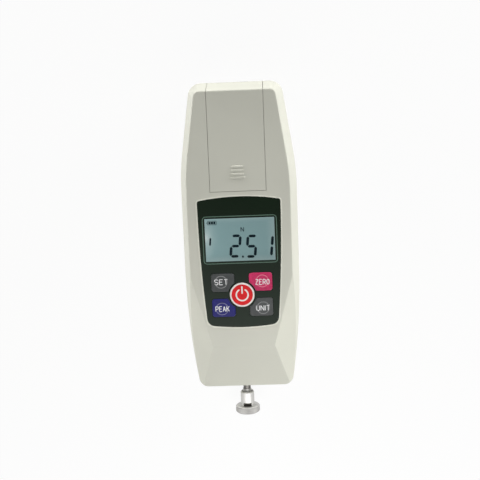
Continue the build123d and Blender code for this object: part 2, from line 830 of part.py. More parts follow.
def load_cell_bolt():
    """Cap screw through the anchor block into the load cell."""
    bolt = rod(shaft_radius, cell_top_y - thread_depth + 0.5, anchor_top_y)
    bolt += rod(cap_head_radius, anchor_top_y, anchor_top_y + cap_head_height)
    socket = extrude(RegularPolygon(cap_socket_radius, 6), cap_head_height)
    return bolt - Pos(0, anchor_top_y + cap_head_height / 2, shaft_height) * Rot(-90, 0, 0) * socket


def overload_stop():
    """Bracket whose two cheeks stop the shaft's collar before the load cell is strained."""
    half = stop_width / 2
    foot = stop_foot_width / 2
    body = block(-foot, foot, stop_end_y, upper_stop_y, plate_top, plate_top + stop_foot_height)
    for y in (upper_stop_y, lower_stop_y):
        body += block(-half, half, y - stop_thickness, y, plate_top, stop_height)
    body -= rod(shaft_radius + stop_bore_gap, stop_end_y - 1, upper_stop_y + 1)
    body -= rod(collar_radius + overload_gap, lower_stop_y, upper_stop_y - stop_thickness)
    for x, y in stop_screw_places():
        body -= post(x, y, small_screw_radius + screw_gap, plate_top - 1, plate_top + stop_foot_height + 1)
    return body


def stop_screws():
    """Two screws that hold the overload stop to the plate."""
    seat = plate_top + stop_foot_height
    return [screw(x, y, seat, -1, small_screw_radius, stop_foot_height + plate_thickness,
                  small_screw_head, small_screw_head_height) for x, y in stop_screw_places()]


def shaft_ring():
    """Ring that lines the shaft hole. The shaft passes through it without touching."""
    inner_face = shaft_end_y + end_wall
    ring = rod(ring_radius, shaft_end_y, inner_face)
    ring += rod(ring_flange_radius, inner_face, inner_face + ring_flange)
    return ring - rod(shaft_radius + ring_bore_gap, -clear_y, clear_y)


def measuring_shaft():
    """M6 shaft from the load cell out through the shaft end."""
    shaft = rod(shaft_radius, shaft_tip_y, cell_bottom_y + thread_depth - 0.5)
    return chamfer(shaft.edges().filter_by(GeomType.CIRCLE), 0.5)


def shaft_lock_nut():
    """Nut that locks the shaft against the load cell."""
    nut = extrude(RegularPolygon(nut_across_flats / 2, 6, major_radius=False), nut_height)
    nut = Pos(0, nut_end_y, shaft_height) * Rot(-90, 0, 0) * nut
    return nut - rod(shaft_radius + thread_gap, nut_end_y - 1, cell_bottom_y + 1)


def overload_collar():
    """Collar on the shaft, between the cheeks of the overload stop."""
    collar = rod(collar_radius, collar_end_y, collar_top_y)
    return collar - rod(shaft_radius + thread_gap, collar_end_y - 1, collar_top_y + 1)


def flat_head():
    """Flat push head: threaded neck with spanner flats above a rounded disc."""
    neck = rod(neck_radius, disc_top_y, head_top_y)
    neck = chamfer(neck.edges().sort_by(Axis.Y)[-1], neck_chamfer)
    for side in (-1, 1):
        flat = shaft_height + side * spanner_flats / 2
        neck -= block(-neck_radius, neck_radius, disc_top_y, disc_top_y + spanner_length,
                      flat, flat + side * neck_radius)
    disc = rod(disc_radius, disc_face_y, disc_top_y)
    disc = fillet(disc.edges().filter_by(GeomType.CIRCLE), disc_edge)
    return neck + disc - rod(shaft_radius + thread_gap, shaft_tip_y - 0.5, head_top_y + 1)


# ---- build -----------------------------------------------------------------------------
def assembly():
    """Every node by name. A node that is several alike pieces is a list of solids."""
    nodes = {
        "front_housing": front_housing(), "rear_housing": rear_housing(),
        "housing_screws": housing_screws(), "battery_door": battery_door(),
        "battery_holder": battery_holder(), "battery_cells": battery_cells(),
        "battery_contacts": battery_contacts(), "battery_springs": battery_springs(),
        "fascia_panel": fascia_panel(), "display_window": display_window(),
        "lcd_glass": lcd_glass(), "lcd_backlight": lcd_backlight(),
        "lcd_connectors": lcd_connectors(), "main_board": main_board(),
        "board_screws": board_screws(), "board_chips": board_chips(),
        "tact_switches": tact_switches(), "mounting_plate": mounting_plate(),
        "plate_screws": plate_screws(), "stand_inserts": stand_inserts(),
        "anchor_block": anchor_block(), "anchor_screws": anchor_screws(),
        "load_cell": load_cell(), "strain_gauges": strain_gauges(),
        "load_cell_bolt": load_cell_bolt(), "overload_stop": overload_stop(),
        "stop_screws": stop_screws(), "shaft_ring": shaft_ring(),
        "measuring_shaft": measuring_shaft(), "shaft_lock_nut": shaft_lock_nut(),
        "overload_collar": overload_collar(), "flat_head": flat_head(),
    }
    for name, shape in key_outlines().items():
        nodes["key_" + name] = key(name, shape)
        nodes["plunger_" + name] = switch_plunger(name)
    return nodes


for node, shape in assembly().items():
    if isinstance(shape, list):
        shape = Compound(children=[piece.solid() for piece in shape])
    export_step(shape, "parts/" + node + ".step")
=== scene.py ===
"""Looks of a hand-held digital force gauge: finishes, printed marks, thread, push head and batteries.

Everything is in metres, in the frame of the solid model: the gauge lies on its back, +Z points
out of the front face, +Y to the battery end and -Y along the measuring shaft.
"""

import functools
import math

import bmesh
import bpy
import numpy as np
from mathutils import Matrix, Vector


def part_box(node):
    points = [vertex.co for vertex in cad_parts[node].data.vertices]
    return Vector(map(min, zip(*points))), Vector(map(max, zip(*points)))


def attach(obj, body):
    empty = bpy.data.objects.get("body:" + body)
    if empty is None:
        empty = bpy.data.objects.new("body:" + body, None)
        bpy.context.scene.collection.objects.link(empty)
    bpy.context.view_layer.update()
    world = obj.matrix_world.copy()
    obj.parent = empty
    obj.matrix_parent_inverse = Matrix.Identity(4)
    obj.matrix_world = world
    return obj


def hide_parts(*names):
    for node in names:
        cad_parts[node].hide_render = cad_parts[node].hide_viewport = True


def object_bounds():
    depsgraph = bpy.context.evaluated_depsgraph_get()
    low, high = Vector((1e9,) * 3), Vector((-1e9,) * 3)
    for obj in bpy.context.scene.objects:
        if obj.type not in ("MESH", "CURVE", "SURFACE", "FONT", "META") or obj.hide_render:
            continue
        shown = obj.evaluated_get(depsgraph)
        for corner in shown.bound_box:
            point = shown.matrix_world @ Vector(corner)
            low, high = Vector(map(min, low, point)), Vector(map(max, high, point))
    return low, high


bl_info = {
    "name": "Force Gauge",
    "version": (1, 0, 0),
    "blender": (4, 5, 0),
    "location": "3D View > Sidebar > Gauge",
    "description": "Finishes, printed marks, thread, push head, batteries and stage of a force gauge",
    "category": "Object",
}

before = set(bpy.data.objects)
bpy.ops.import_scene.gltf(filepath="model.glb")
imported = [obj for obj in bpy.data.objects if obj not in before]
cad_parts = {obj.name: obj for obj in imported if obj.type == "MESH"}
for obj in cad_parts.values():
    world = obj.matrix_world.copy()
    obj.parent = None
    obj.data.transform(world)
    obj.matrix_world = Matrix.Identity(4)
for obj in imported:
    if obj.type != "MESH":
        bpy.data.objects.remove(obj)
CAD_BOX = [list(corner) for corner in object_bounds()]
MM = 0.001
INK = 0.03 * MM              # half the thickness of printed ink
KEYS = ("power", "set", "zero", "peak", "unit")

# On the display, in millimetres from its middle
DIGIT_PLACES = {"2": (-3.2, -4.85), "5": (7.2, -5.3), "1": (17.75, -5.4)}
POINT_ENDS = ((0.65, -12.0), (2.05, -12.0))
SMALL_ONE_ENDS = ((-19.8, -4.2), (-19.3, 1.2))
BATTERY_SIGN = (-17.9, 10.85)
BATTERY_SIGN_SIZE = (5.8, 2.4)
UNIT_SIGN = (1.6, 6.0)
UNIT_SIGN_SIZE = (2.3, 3.4)

# Each key's word, its middle from the power key's middle and its width, in millimetres
KEY_WORDS = {"set": ("SET", (-13.4, 8.95), 9.0), "zero": ("ZERO", (13.5, 8.3), 9.4),
             "peak": ("PEAK", (-13.2, -9.0), 9.4), "unit": ("UNIT", (13.3, -9.1), 9.2)}

# Flats and depth of an ISO metric thread, as shares of its pitch
CREST_FLAT, ROOT_FLAT, THREAD_DEPTH = 0.125, 0.25, 0.5413

BATTERY_BODY, BATTERY_NUB = 49.4 * MM, 1.0 * MM

# Each lamp's place, what it points at, its size and its power in watts
LAMPS = {"left_lamp": ((-0.75, 0.5, 0.15), None, (0.6, 0.16), 5.4),
         "right_lamp": ((0.75, 0.5, 0.15), None, (0.6, 0.16), 6.6),
         "far_lamp": ((0.0, 0.9, 0.12), None, (0.8, 0.16), 2.0),
         "near_lamp": ((0.03, -0.27, 0.28), (0.0, -0.07, 0.03), (0.5, 0.25), 1.0)}


# ---- colours and nodes -----------------------------------------------------------------
def linear(code):
    """Linear colour of an sRGB hex code."""
    parts = [int(code[i:i + 2], 16) / 255 for i in (0, 2, 4)]
    return tuple(c / 12.92 if c <= 0.04045 else ((c + 0.055) / 1.055) ** 2.4 for c in parts)


def shade(tone, factor):
    """The colour, darker or lighter by a factor."""
    return tuple(min(1.0, c * factor) for c in tone)


def mm(*sizes):
    """Sizes in millimetres as an array in metres."""
    return np.array(sizes) * MM


def per(size):
    """Texture scale that makes one cell of a pattern this many metres wide."""
    return 1.0 / size


def add(tree, kind, inputs=None, stops=(), **named):
    """Adds a node and gives its outputs.

    Names in lower case are settings and the others inputs. Inputs that share a name go by number
    in inputs. An input is set to its value, or linked if that is a socket. stops are those of a ramp.
    """
    node = tree.nodes.new("ShaderNode" + kind)
    values = dict(inputs or {})
    for key, value in named.items():
        if key.islower():
            setattr(node.color_ramp if stops else node, key, value)
        else:
            values[key.replace("_", " ")] = value
    for key, value in values.items():
        if isinstance(value, bpy.types.NodeSocket):
            tree.links.new(value, node.inputs[key])
        elif node.inputs[key].type == "RGBA":
            node.inputs[key].default_value = (*value, 1.0)
        else:
            node.inputs[key].default_value = value
    while stops and len(node.color_ramp.elements) < len(stops):
        node.color_ramp.elements.new(0.5)
    for element, (place, tone) in zip(node.color_ramp.elements if stops else (), stops):
        element.position = place
        element.color = (*tone, 1.0)
    return node.outputs


def new_material(name, surface):
    """Material whose surface is the shader that surface(node, coordinates) gives; node adds a node."""
    material = bpy.data.materials.new(name)
    material.use_nodes = True
    material.node_tree.nodes.clear()
    node = functools.partial(add, material.node_tree)
    node("OutputMaterial", Surface=surface(node, node("TexCoord")["Object"]))
    return material


def grained(name, colour, cell, tones, gloss=None, relief=None, stretch=None, detail=2.0,
            cloud=None, ends=(0.3, 0.7), **shader):
    """Material whose colour, gloss and relief follow one noise with cells this many metres wide.

    tones are factors on the colour where the noise has the values in ends, and gloss holds the
    roughness where it is 0 and 1. relief is its height and strength, and stretch scales the places
    that it is read at. Where cloud is given, the colour follows a second noise with cells of that
    width. shader holds what is the same all over.
    """
    def surface(node, at):
        if stretch:
            at = node("Mapping", Vector=at, Scale=stretch)[0]
        grain = node("TexNoise", Vector=at, Scale=per(cell), Detail=detail)["Fac"]
        lay = node("TexNoise", Vector=at, Scale=per(cloud), Detail=1.0)["Fac"] if cloud else grain
        inputs = dict(shader, Base_Color=node("ValToRGB", Fac=lay, stops=[
            (end, shade(colour, tone)) for end, tone in zip(ends, tones)])["Color"])
        if gloss:
            inputs["Roughness"] = node("MapRange", Value=grain, To_Min=gloss[0], To_Max=gloss[1])[0]
        if relief:
            inputs["Normal"] = node("Bump", Height=grain, Distance=relief[0], Strength=relief[1])[0]
        return node("BsdfPrincipled", **inputs)[0]
    return new_material(name, surface)


# ---- finishes --------------------------------------------------------------------------
def spark_eroded_abs(colour):
    """ABS moulded in a spark-eroded tool: an even fine grain that turns highlights into a soft sheen.

    The grain is 0.3 mm wide, drawn at 0.8 mm so that it shows. The colour drifts over 45 mm.
    """
    return grained("Spark-eroded ABS", colour, 0.8 * MM, (0.97, 1.03), gloss=(0.42, 0.58),
                   relief=(0.05 * MM, 0.7), detail=3.0, cloud=45 * MM, ends=(0.35, 0.65), IOR=1.54)


def hard_coated_film(colour):
    """Back-printed polycarbonate film with a hard coat: deep colour under an almost flat gloss."""
    return grained("Hard-coated polycarbonate film", colour, 9 * MM, (0.85, 1.15),
                   relief=(0.02 * MM, 0.4), detail=1.0, cloud=30 * MM, IOR=1.45, Roughness=0.14)


def cast_acrylic():
    """Cast acrylic window: nearly all light passes, and a faint haze and gloss show its face."""
    def surface(node, at):
        haze = node("TexNoise", Vector=at, Scale=per(12 * MM), Detail=1.0)["Fac"]
        gloss = node("MapRange", Value=haze, To_Min=0.04, To_Max=0.12)[0]
        return node("BsdfPrincipled", Base_Color=linear("1C2A27"), IOR=1.49, Alpha=0.12,
                    Roughness=gloss)[0]
    return new_material("Cast acrylic", surface)


def display_glass(colour, glow_and_edge_light_tone, half_width, half_height, centre_y):
    """Backlit liquid-crystal glass: its grey-green glow is the backlight, brightest at the lamp on its left
    edge. The glow is also strong enough to paint over the shadow that the window's rim casts on it. Along
    all four edges the glow turns paler: painted light.
    """
    def surface(node, at):
        place = node("Mapping", Vector=at, Location=(0.0, centre_y, 0.0),
                     Scale=(half_width, half_height, 1.0), vector_type="TEXTURE")[0]
        parts = node("SeparateXYZ", Vector=place)
        across = node("MapRange", Value=parts["X"], From_Min=-1.0, From_Max=1.0)[0]
        tone = node("ValToRGB", Fac=across, stops=[
            (0.0, shade(colour, 1.12)), (0.3, colour), (1.0, shade(colour, 0.9))])["Color"]
        lamp = node("Mapping", Vector=at, vector_type="TEXTURE",
                    Location=(-half_width, centre_y + 0.08 * half_height, 0.0),
                    Scale=(0.4 * half_width, 0.9 * half_height, 1.0))[0]
        near = node("TexGradient", Vector=lamp, gradient_type="SPHERICAL")["Fac"]
        share = node("ValToRGB", Fac=near, stops=[
            (end, (glow,) * 3) for end, glow in ((0.0, 0.0), (0.5, 0.12), (0.75, 0.36), (1.0, 1.0))
        ])["Color"]
        lit = node("Mix", {0: share, 6: tone, 7: glow_and_edge_light_tone}, data_type="RGBA")[2]
        side = node("Math", {0: parts["X"]}, operation="ABSOLUTE")[0]
        end = node("Math", {0: parts["Y"]}, operation="ABSOLUTE")[0]
        rim = node("Math", {0: side, 1: end}, operation="MAXIMUM")[0]
        # Painted light: the glow turns paler along all four edges, over the rim's shadow on the glass.
        edge = node("MapRange", Value=rim, From_Min=0.75, From_Max=1.0, To_Max=0.2)[0]
        paler = node("Mix", {0: edge, 6: lit, 7: glow_and_edge_light_tone}, data_type="RGBA")[2]
        frost = node("TexNoise", Vector=at, Scale=per(0.6 * MM))["Fac"]
        gloss = node("MapRange", Value=frost, To_Min=0.28, To_Max=0.4)[0]
        return node("BsdfPrincipled", Base_Color=shade(colour, 0.35), IOR=1.5, Roughness=gloss,
                    Emission_Color=paler, Emission_Strength=0.75)[0]
    return new_material("Backlit display glass", surface)


def liquid_crystal(name, colour):
    """Dyed liquid-crystal segment: flat and dark, with hardly any gloss because it lies under glass."""
    return grained("Liquid crystal, " + name, colour, 0.8 * MM, (0.85, 1.15),
                   Roughness=0.6, Specular_IOR_Level=0.05)


def silicone_rubber(name, colour):
    """Moulded silicone key: a satin skin with faint mottling and a soft highlight."""
    return grained("Silicone rubber, " + name, colour, 1.5 * MM, (0.86, 1.14), gloss=(0.26, 0.42),
                   relief=(0.02 * MM, 0.5), detail=3.0, IOR=1.43)


def screen_ink(name, colour):
    """Screen-printed ink: opaque and satin, with a slightly uneven lay-down."""
    return grained("Screen ink, " + name, colour, 0.4 * MM, (0.93, 1.05), gloss=(0.35, 0.5))


def moulded_plastic(name, code, roughness, ior):
    """Plainly moulded engineering plastic, with faint flow marks 6 mm wide in its colour and gloss."""
    return grained(name, linear(code), 6 * MM, (0.92, 1.08), stretch=(1.0, 0.3, 1.0),
                   gloss=(roughness - 0.08, roughness + 0.08), IOR=ior)


def worked_metal(name, code, roughness, mark, run=(1, 1, 1)):
    """Bare metal with the marks of its making, as wide as mark and stretched along the cut by run.

    Real tool marks are about 0.05 mm apart. The widths used here are coarser, so that they show.
    """
    return grained(name, linear(code), mark, (0.88, 1.06), gloss=(roughness * 0.7, roughness * 1.4),
                   relief=(0.01 * MM, 0.4), stretch=run, detail=3.0, Metallic=1.0)


def solder_mask():
    """Fibreglass board under green solder mask: raised copper tracks show as paler lines."""
    def surface(node, at):
        tracks = node("TexBrick", {"Color1": linear("0C4A28"), "Color2": linear("0A4224")},
                      Mortar=linear("1F7A45"), Vector=at, Scale=per(6 * MM), Mortar_Size=0.06,
                      Brick_Width=1.0, Row_Height=0.35)
        relief = node("Bump", Height=tracks["Fac"], Distance=0.03 * MM)[0]
        return node("BsdfPrincipled", Base_Color=tracks["Color"], Roughness=0.3, Normal=relief)[0]
    return new_material("Green solder mask", surface)


def layered_rubber():
    """Conductive rubber strip in dark and pale layers.

    They are 0.1 mm thick, drawn 1.6 mm thick so that they show: a wave repeats each 2 pi / 20 cells.
    """
    def surface(node, at):
        layers = node("TexWave", Vector=at, Scale=per(10 * MM), bands_direction="X")["Fac"]
        tone = node("ValToRGB", Fac=layers, stops=[
            (0.4, linear("3A3A3C")), (0.6, linear("C9B7B0"))])["Color"]
        return node("BsdfPrincipled", Base_Color=tone, Roughness=0.7)[0]
    return new_material("Layered conductive rubber", surface)


def gauge_foil():
    """Copper-nickel foil on amber polyimide: a grid of fine metal lines across the beam."""
    def surface(node, at):
        lines = node("TexWave", Vector=at, Scale=per(8 * MM), bands_direction="Z")["Fac"]
        tone = node("ValToRGB", Fac=lines, stops=[
            (0.45, linear("B8722C")), (0.55, linear("D9B48A"))])["Color"]
        metal = node("MapRange", Value=lines, From_Min=0.45, From_Max=0.55)[0]
        return node("BsdfPrincipled", Base_Color=tone, Metallic=metal, Roughness=0.35)[0]
    return new_material("Copper-nickel foil on polyimide", surface)


def metal_with_painted_shade(name, colour, painted_shade_tone, roughness):
    """Bright metal with an even sheen, painted darker towards a second tone where the UV mark nears 1:
    painted shade.

    The grain of the polish is about 0.02 mm wide, drawn at 0.5 mm so that it shows.
    """
    def surface(node, at):
        painted_shade = node("SeparateXYZ", Vector=node("UVMap", uv_map="along")[0])["X"]
        tone = node("Mix", {0: painted_shade, 6: colour, 7: painted_shade_tone}, data_type="RGBA")[2]
        lap = node("TexNoise", Vector=at, Scale=per(0.5 * MM), Detail=3.0)["Fac"]
        gloss = node("MapRange", Value=lap, To_Min=roughness * 0.75, To_Max=roughness * 1.25)[0]
        relief = node("Bump", Height=lap, Distance=0.006 * MM, Strength=0.4)[0]
        return node("BsdfPrincipled", Base_Color=tone, Metallic=1.0, Roughness=gloss, Normal=relief)[0]
    return new_material(name, surface)


def battery_sleeve():
    """Plain shrink sleeve between bare nickel-plated ends, by the distance along the battery."""
    def surface(node, at):
        run = node("SeparateXYZ", Vector=node("UVMap", uv_map="along")[0])["X"]
        starts = (0.0, 0.075, 0.74, 0.925)
        tones = [linear(code) for code in ("C9C7C0", "2B3036", "B98A4A", "C9C7C0")]
        shares = [(share,) * 3 for share in (1.0, 0.0, 0.6, 1.0)]
        tone, metal = (node("ValToRGB", Fac=run, stops=list(zip(starts, values)),
                            interpolation="CONSTANT")["Color"] for values in (tones, shares))
        scuff = node("TexNoise", Vector=at, Scale=per(2 * MM))["Fac"]
        gloss = node("MapRange", Value=scuff, To_Min=0.2, To_Max=0.36)[0]
        return node("BsdfPrincipled", Base_Color=tone, Metallic=metal, Roughness=gloss)[0]
    return new_material("Battery shrink sleeve", surface)


# ---- shapes ----------------------------------------------------------------------------
def sheet_of(points, close_rows=False, close_columns=False, marks=None):
    """Grid of points with one quad in each cell, as points, quads and a mark for each point."""
    rows, columns = points.shape[:2]
    index = np.arange(rows * columns).reshape(rows, columns)
    if close_rows:
        index = np.vstack([index, index[:1]])
    if close_columns:
        index = np.hstack([index, index[:, :1]])
    quads = np.stack([index[:-1, :-1], index[1:, :-1], index[1:, 1:], index[:-1, 1:]], -1)
    if marks is None:
        marks = np.zeros((rows, columns))
    return points.reshape(-1, 3), quads.reshape(-1, 4), marks.reshape(-1)


def piece(name, sheets, material, body, smooth_below=30.0):
    """One object of closed sheets, with doubled points merged and all faces outwards.

    Edges that turn by more than smooth_below degrees stay sharp. The marks go into a UV map.
    """
    starts = np.cumsum([0] + [len(points) for points, quads, marks in sheets])
    points = np.concatenate([sheet[0] for sheet in sheets])
    quads = np.concatenate([sheet[1] + start for sheet, start in zip(sheets, starts)])
    marks = np.concatenate([sheet[2] for sheet in sheets])
    mesh = bpy.data.meshes.new(name)
    mesh.from_pydata(points.tolist(), [], quads.tolist())
    layer = mesh.uv_layers.new(name="along")
    pairs = np.stack([marks[quads.reshape(-1)], np.zeros(quads.size)], 1)
    layer.uv.foreach_set("vector", pairs.reshape(-1).astype(np.float32))
    form = bmesh.new()
    form.from_mesh(mesh)
    bmesh.ops.remove_doubles(form, verts=form.verts, dist=1e-7)
    bmesh.ops.recalc_face_normals(form, faces=form.faces)
    form.to_mesh(mesh)
    form.free()
    mesh.shade_smooth()
    mesh.set_sharp_from_angle(angle=math.radians(smooth_below))
    mesh.materials.append(material)
    thing = bpy.data.objects.new(name, mesh)
    bpy.context.scene.collection.objects.link(thing)
    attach(thing, body)
    return thing


def turned(radii, distances, origin, along, across, sides, marks=None):
    """Surface of revolution.

    Point = origin + along * distance + radius * (across * cos a + other * sin a), where a runs
    once round in equal steps. radii may hold one value for each row, or one for each point.
    """
    along, across = np.asarray(along, float), np.asarray(across, float)
    other = np.cross(along, across)
    angle = np.arange(sides) * 2 * math.pi / sides
    radii = np.asarray(radii, float)
    if radii.ndim == 1:
        radii = np.repeat(radii[:, None], sides, 1)
    spoke = np.cos(angle)[:, None] * across + np.sin(angle)[:, None] * other
    points = (np.asarray(origin, float) + np.asarray(distances, float)[:, None, None] * along
              + radii[:, :, None] * spoke)
    if marks is not None and np.ndim(marks) == 1:
        marks = np.repeat(np.asarray(marks, float)[:, None], sides, 1)
    return sheet_of(points, close_columns=True, marks=marks)


def rounded_profile(corners):
    """Profile through corners of (radius, distance, rounding), each rounded by a quarter bend.

    A bend is the curve (1 - t)^2 start + 2 t (1 - t) corner + t^2 end, with its ends one rounding
    away from the corner.
    """
    corners = np.asarray(corners, float)
    rows = [corners[:1, :2]]
    t = np.linspace(0, 1, 6)[:, None]
    for before, corner, after in zip(corners[:-2], corners[1:-1], corners[2:]):
        start = before[:2] - corner[:2]
        end = after[:2] - corner[:2]
        start = corner[:2] + start / np.linalg.norm(start) * corner[2]
        end = corner[:2] + end / np.linalg.norm(end) * corner[2]
        bend = (1 - t) ** 2 * start + 2 * t * (1 - t) * corner[:2] + t ** 2 * end
        rows.append(bend if corner[2] > 0 else corner[None, :2])
    rows.append(corners[-1:, :2])
    return np.concatenate(rows)


def resampled(path, step, ends):
    """The same path with points at most a step apart, and closer ones near its two ends."""
    path = np.asarray(path, float)
    run = np.concatenate([[0], np.cumsum(np.linalg.norm(np.diff(path, axis=0), axis=1))])
    near = ends * (1 - np.cos(np.linspace(0, math.pi / 2, 6)))
    even = np.linspace(0, run[-1], int(run[-1] / step) + 2)
    even = even[(even > ends) & (even < run[-1] - ends)]
    marks = np.concatenate([near, even, run[-1] - near[::-1]])
    return np.stack([np.interp(marks, run, path[:, i]) for i in range(2)], 1), marks


def stroke(path, width, surface, lift=0.0, ends="round"):
    """Closed flat band of ink along an open path on a surface.

    Each point moves half the band's width to both sides, square to the path. Within half a width
    of an end at distance d, the half width h becomes sqrt(h^2 - (h - d)^2) where the end is
    round, d where it is pointed, and stays h where it is square. The height is the surface's own,
    less and plus the ink.
    """
    half = width / 2
    path, run = resampled(path, 0.25 * MM, half)
    ahead = np.gradient(path, axis=0)
    ahead /= np.maximum(np.linalg.norm(ahead, axis=1), 1e-12)[:, None]
    side = np.stack([-ahead[:, 1], ahead[:, 0]], 1)
    left = np.clip(np.minimum(run, run[-1] - run), 0, half)
    wide = {"round": np.sqrt(np.maximum(half ** 2 - (half - left) ** 2, 0)), "pointed": left,
            "square": np.full_like(left, half)}[ends]
    edges = [path + side * wide[:, None], path - side * wide[:, None]]
    return band(edges, surface, lift)


def band(edges, surface, lift=0.0, closed=False):
    """Closed shell between two edges of a band, half its ink above the surface and half below."""
    corners = [(edges[0], -INK), (edges[1], -INK), (edges[1], INK), (edges[0], INK)]
    rows = np.stack([np.column_stack([edge, surface(edge[:, 0], edge[:, 1]) + lift + height])
                     for edge, height in corners], 1)
    if not closed:
        rows = np.concatenate([rows[:1].mean(1, keepdims=True).repeat(4, 1), rows,
                               rows[-1:].mean(1, keepdims=True).repeat(4, 1)])
    return sheet_of(rows, close_rows=closed, close_columns=True)


def rounded_rectangle(width, height, corner, centre):
    """Points of a rounded rectangle: four quarter circles, each moved to its own corner."""
    angle = np.linspace(0, math.pi / 2, 9)
    arcs = []
    for quarter, (sx, sy) in enumerate(((1, 1), (-1, 1), (-1, -1), (1, -1))):
        turn = angle + quarter * math.pi / 2
        middle = np.array(centre) + (sx * (width / 2 - corner), sy * (height / 2 - corner))
        arcs.append(middle + corner * np.column_stack([np.cos(turn), np.sin(turn)]))
    return np.concatenate(arcs)


def bowed_outline(size, grow):
    """Outline of the fascia, moved outwards by grow.

    An edge is start + (end - start) * t + outwards * 4 * bow * t * (1 - t), with bows for the arched
    ends and the sides. It stops one rounding short of its corners, where a bend
    (1 - t)^2 start + 2 t (1 - t) corner + t^2 end joins it to the next.
    """
    low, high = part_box("fascia_panel")
    top = (high.x - size.side_bulge + grow, high.y - size.arch + grow)
    foot = (size.fascia_foot / 2 + grow, low.y + size.sag - grow)
    corners = np.array([top, foot, (-foot[0], foot[1]), (-top[0], top[1])])
    bows = (size.side_bow, size.sag, size.side_bow, size.arch)
    rounds = np.array([size.top_corner, size.foot_corner, size.foot_corner, size.top_corner]) + grow
    t = np.linspace(0, 1, 25)[:, None]
    edges = []
    for turn, (start, end) in enumerate(zip(corners, np.roll(corners, -1, 0))):
        way = end - start
        run = np.linalg.norm(way)
        outwards = np.array([-way[1], way[0]]) / run
        cut = (rounds[turn] + t * (run - rounds[turn] - rounds[(turn + 1) % 4])) / run
        edges.append(start + way * cut + outwards * 4 * bows[turn] * cut * (1 - cut))
    bend = np.linspace(0, 1, 9)[1:-1, None]
    joins = [(1 - bend) ** 2 * edges[turn][-1] + 2 * bend * (1 - bend) * corners[(turn + 1) % 4]
             + bend ** 2 * edges[(turn + 1) % 4][0] for turn in range(4)]
    return np.concatenate([part for pair in zip(edges, joins) for part in pair])


def level(height):
    """Flat surface of one height."""
    return lambda x, y: np.full_like(x, height)


def arc(centre, radius_x, radius_y, start, end, count=24):
    """Points of an elliptic arc between two angles in degrees."""
    angle = np.radians(np.linspace(start, end, count))
    return np.column_stack([centre[0] + radius_x * np.cos(angle), centre[1] + radius_y * np.sin(angle)])


LETTER_SPACE = 0.42          # between two letters, in letter widths
LAYER = 0.002 * MM           # from one stroke of a word to the next one over it


def letter_paths():
    """Strokes of each letter used, in a cell one unit wide and one unit high."""
    bowl = arc((0.5, 0.73), 0.5, 0.27, 90, -90, 12)
    upper = np.concatenate([[(0.0, 1.0)], bowl, [(0.0, 0.46)]])
    return {
        "S": [np.concatenate([arc((0.5, 0.75), 0.5, 0.25, 25, 270),
                              arc((0.5, 0.25), 0.5, 0.25, 90, -155)[1:]])],
        "E": [[(0, 0), (0, 1)], [(0, 1), (1, 1)], [(0, 0.52), (0.85, 0.52)], [(0, 0), (1, 0)]],
        "T": [[(0, 1), (1, 1)], [(0.5, 1), (0.5, 0)]],
        "Z": [[(0, 1), (1, 1)], [(1, 1), (0, 0)], [(0, 0), (1, 0)]],
        "R": [[(0, 0), (0, 1)], upper, [(0.45, 0.46), (1, 0)]],
        "O": [arc((0.5, 0.5), 0.5, 0.5, 90, 455, 40)],
        "P": [[(0, 0), (0, 1)], upper],
        "A": [[(0, 0), (0.5, 1)], [(0.5, 1), (1, 0)], [(0.2, 0.36), (0.8, 0.36)]],
        "K": [[(0, 0), (0, 1)], [(0, 0.4), (1, 1)], [(0.35, 0.6), (1, 0)]],
        "U": [np.concatenate([[(0.0, 1.0)], arc((0.5, 0.36), 0.5, 0.36, 180, 360), [(1.0, 1.0)]])],
        "N": [[(0, 0), (0, 1)], [(0, 1), (1, 0)], [(1, 0), (1, 1)]],
        "I": [[(0, 1), (0, 0)]],
    }


def word(text, centre, width, height, weight, surface):
    """A word as strokes of ink: each letter's cell is scaled to the word's height and pitch.

    Each stroke lies a little higher than the one before, so that no two share a face.
    """
    shapes = letter_paths()
    cells = np.array([0.0 if letter == "I" else 1.0 for letter in text])
    unit = (width - weight) / (cells.sum() + LETTER_SPACE * (len(text) - 1))
    starts = np.concatenate([[0], np.cumsum(cells[:-1] + LETTER_SPACE)]) * unit
    corner = np.array(centre) - ((width - weight) / 2, (height - weight) / 2)
    strokes = []
    for letter, start, cell in zip(text, starts, cells):
        for path in shapes[letter]:
            place = np.asarray(path, float) * (cell * unit, height - weight) + corner + (start, 0)
            strokes.append(stroke(place, weight, surface, lift=len(strokes) * LAYER))
    return strokes


SEGMENT_GAP = 0.15           # from a corner of a digit to the point of a stroke, in stroke widths
SEGMENTS = {"top": ((0, 2), (1, 2)), "upper_left": ((0, 1), (0, 2)), "upper_right": ((1, 1), (1, 2)),
            "middle": ((0, 1), (1, 1)), "lower_left": ((0, 0), (0, 1)), "lower_right": ((1, 0), (1, 1)),
            "bottom": ((0, 0), (1, 0))}
DIGITS = {"2": ("top", "upper_right", "middle", "lower_left", "bottom"),
          "5": ("top", "upper_left", "middle", "lower_right", "bottom"),
          "1": ("upper_right", "lower_right")}


def digit(number, centre, width, height, weight, slant, surface):
    """Seven-segment digit: pointed strokes between the corners of a slanted two-storey cell."""
    strokes = []
    for segment in DIGITS[number]:
        ends = np.array(SEGMENTS[segment], float) * (width, height / 2) - (width / 2, height / 2)
        reach = ends[1] - ends[0]
        ends += np.outer((1, -1), reach / np.linalg.norm(reach)) * weight * SEGMENT_GAP
        ends[:, 0] += ends[:, 1] * slant
        strokes.append(stroke(ends + centre, weight, surface, ends="pointed"))
    return strokes


# ---- settings --------------------------------------------------------------------------
def length(name, description, size, smallest=0.0):
    """A length setting kept in metres, with its default and its least value given in millimetres."""
    return bpy.props.FloatProperty(name=name, description=description, default=size * MM,
                                   min=smallest * MM, unit="LENGTH", precision=5)


def number(name, description, default, low, high):
    """A setting without a unit."""
    return bpy.props.FloatProperty(name=name, description=description, default=default,
                                   min=low, max=high)


def angle(name, description, degrees):
    """An angle setting, with its default given in degrees."""
    return bpy.props.FloatProperty(name=name, description=description,
                                   default=math.radians(degrees), subtype="ANGLE")


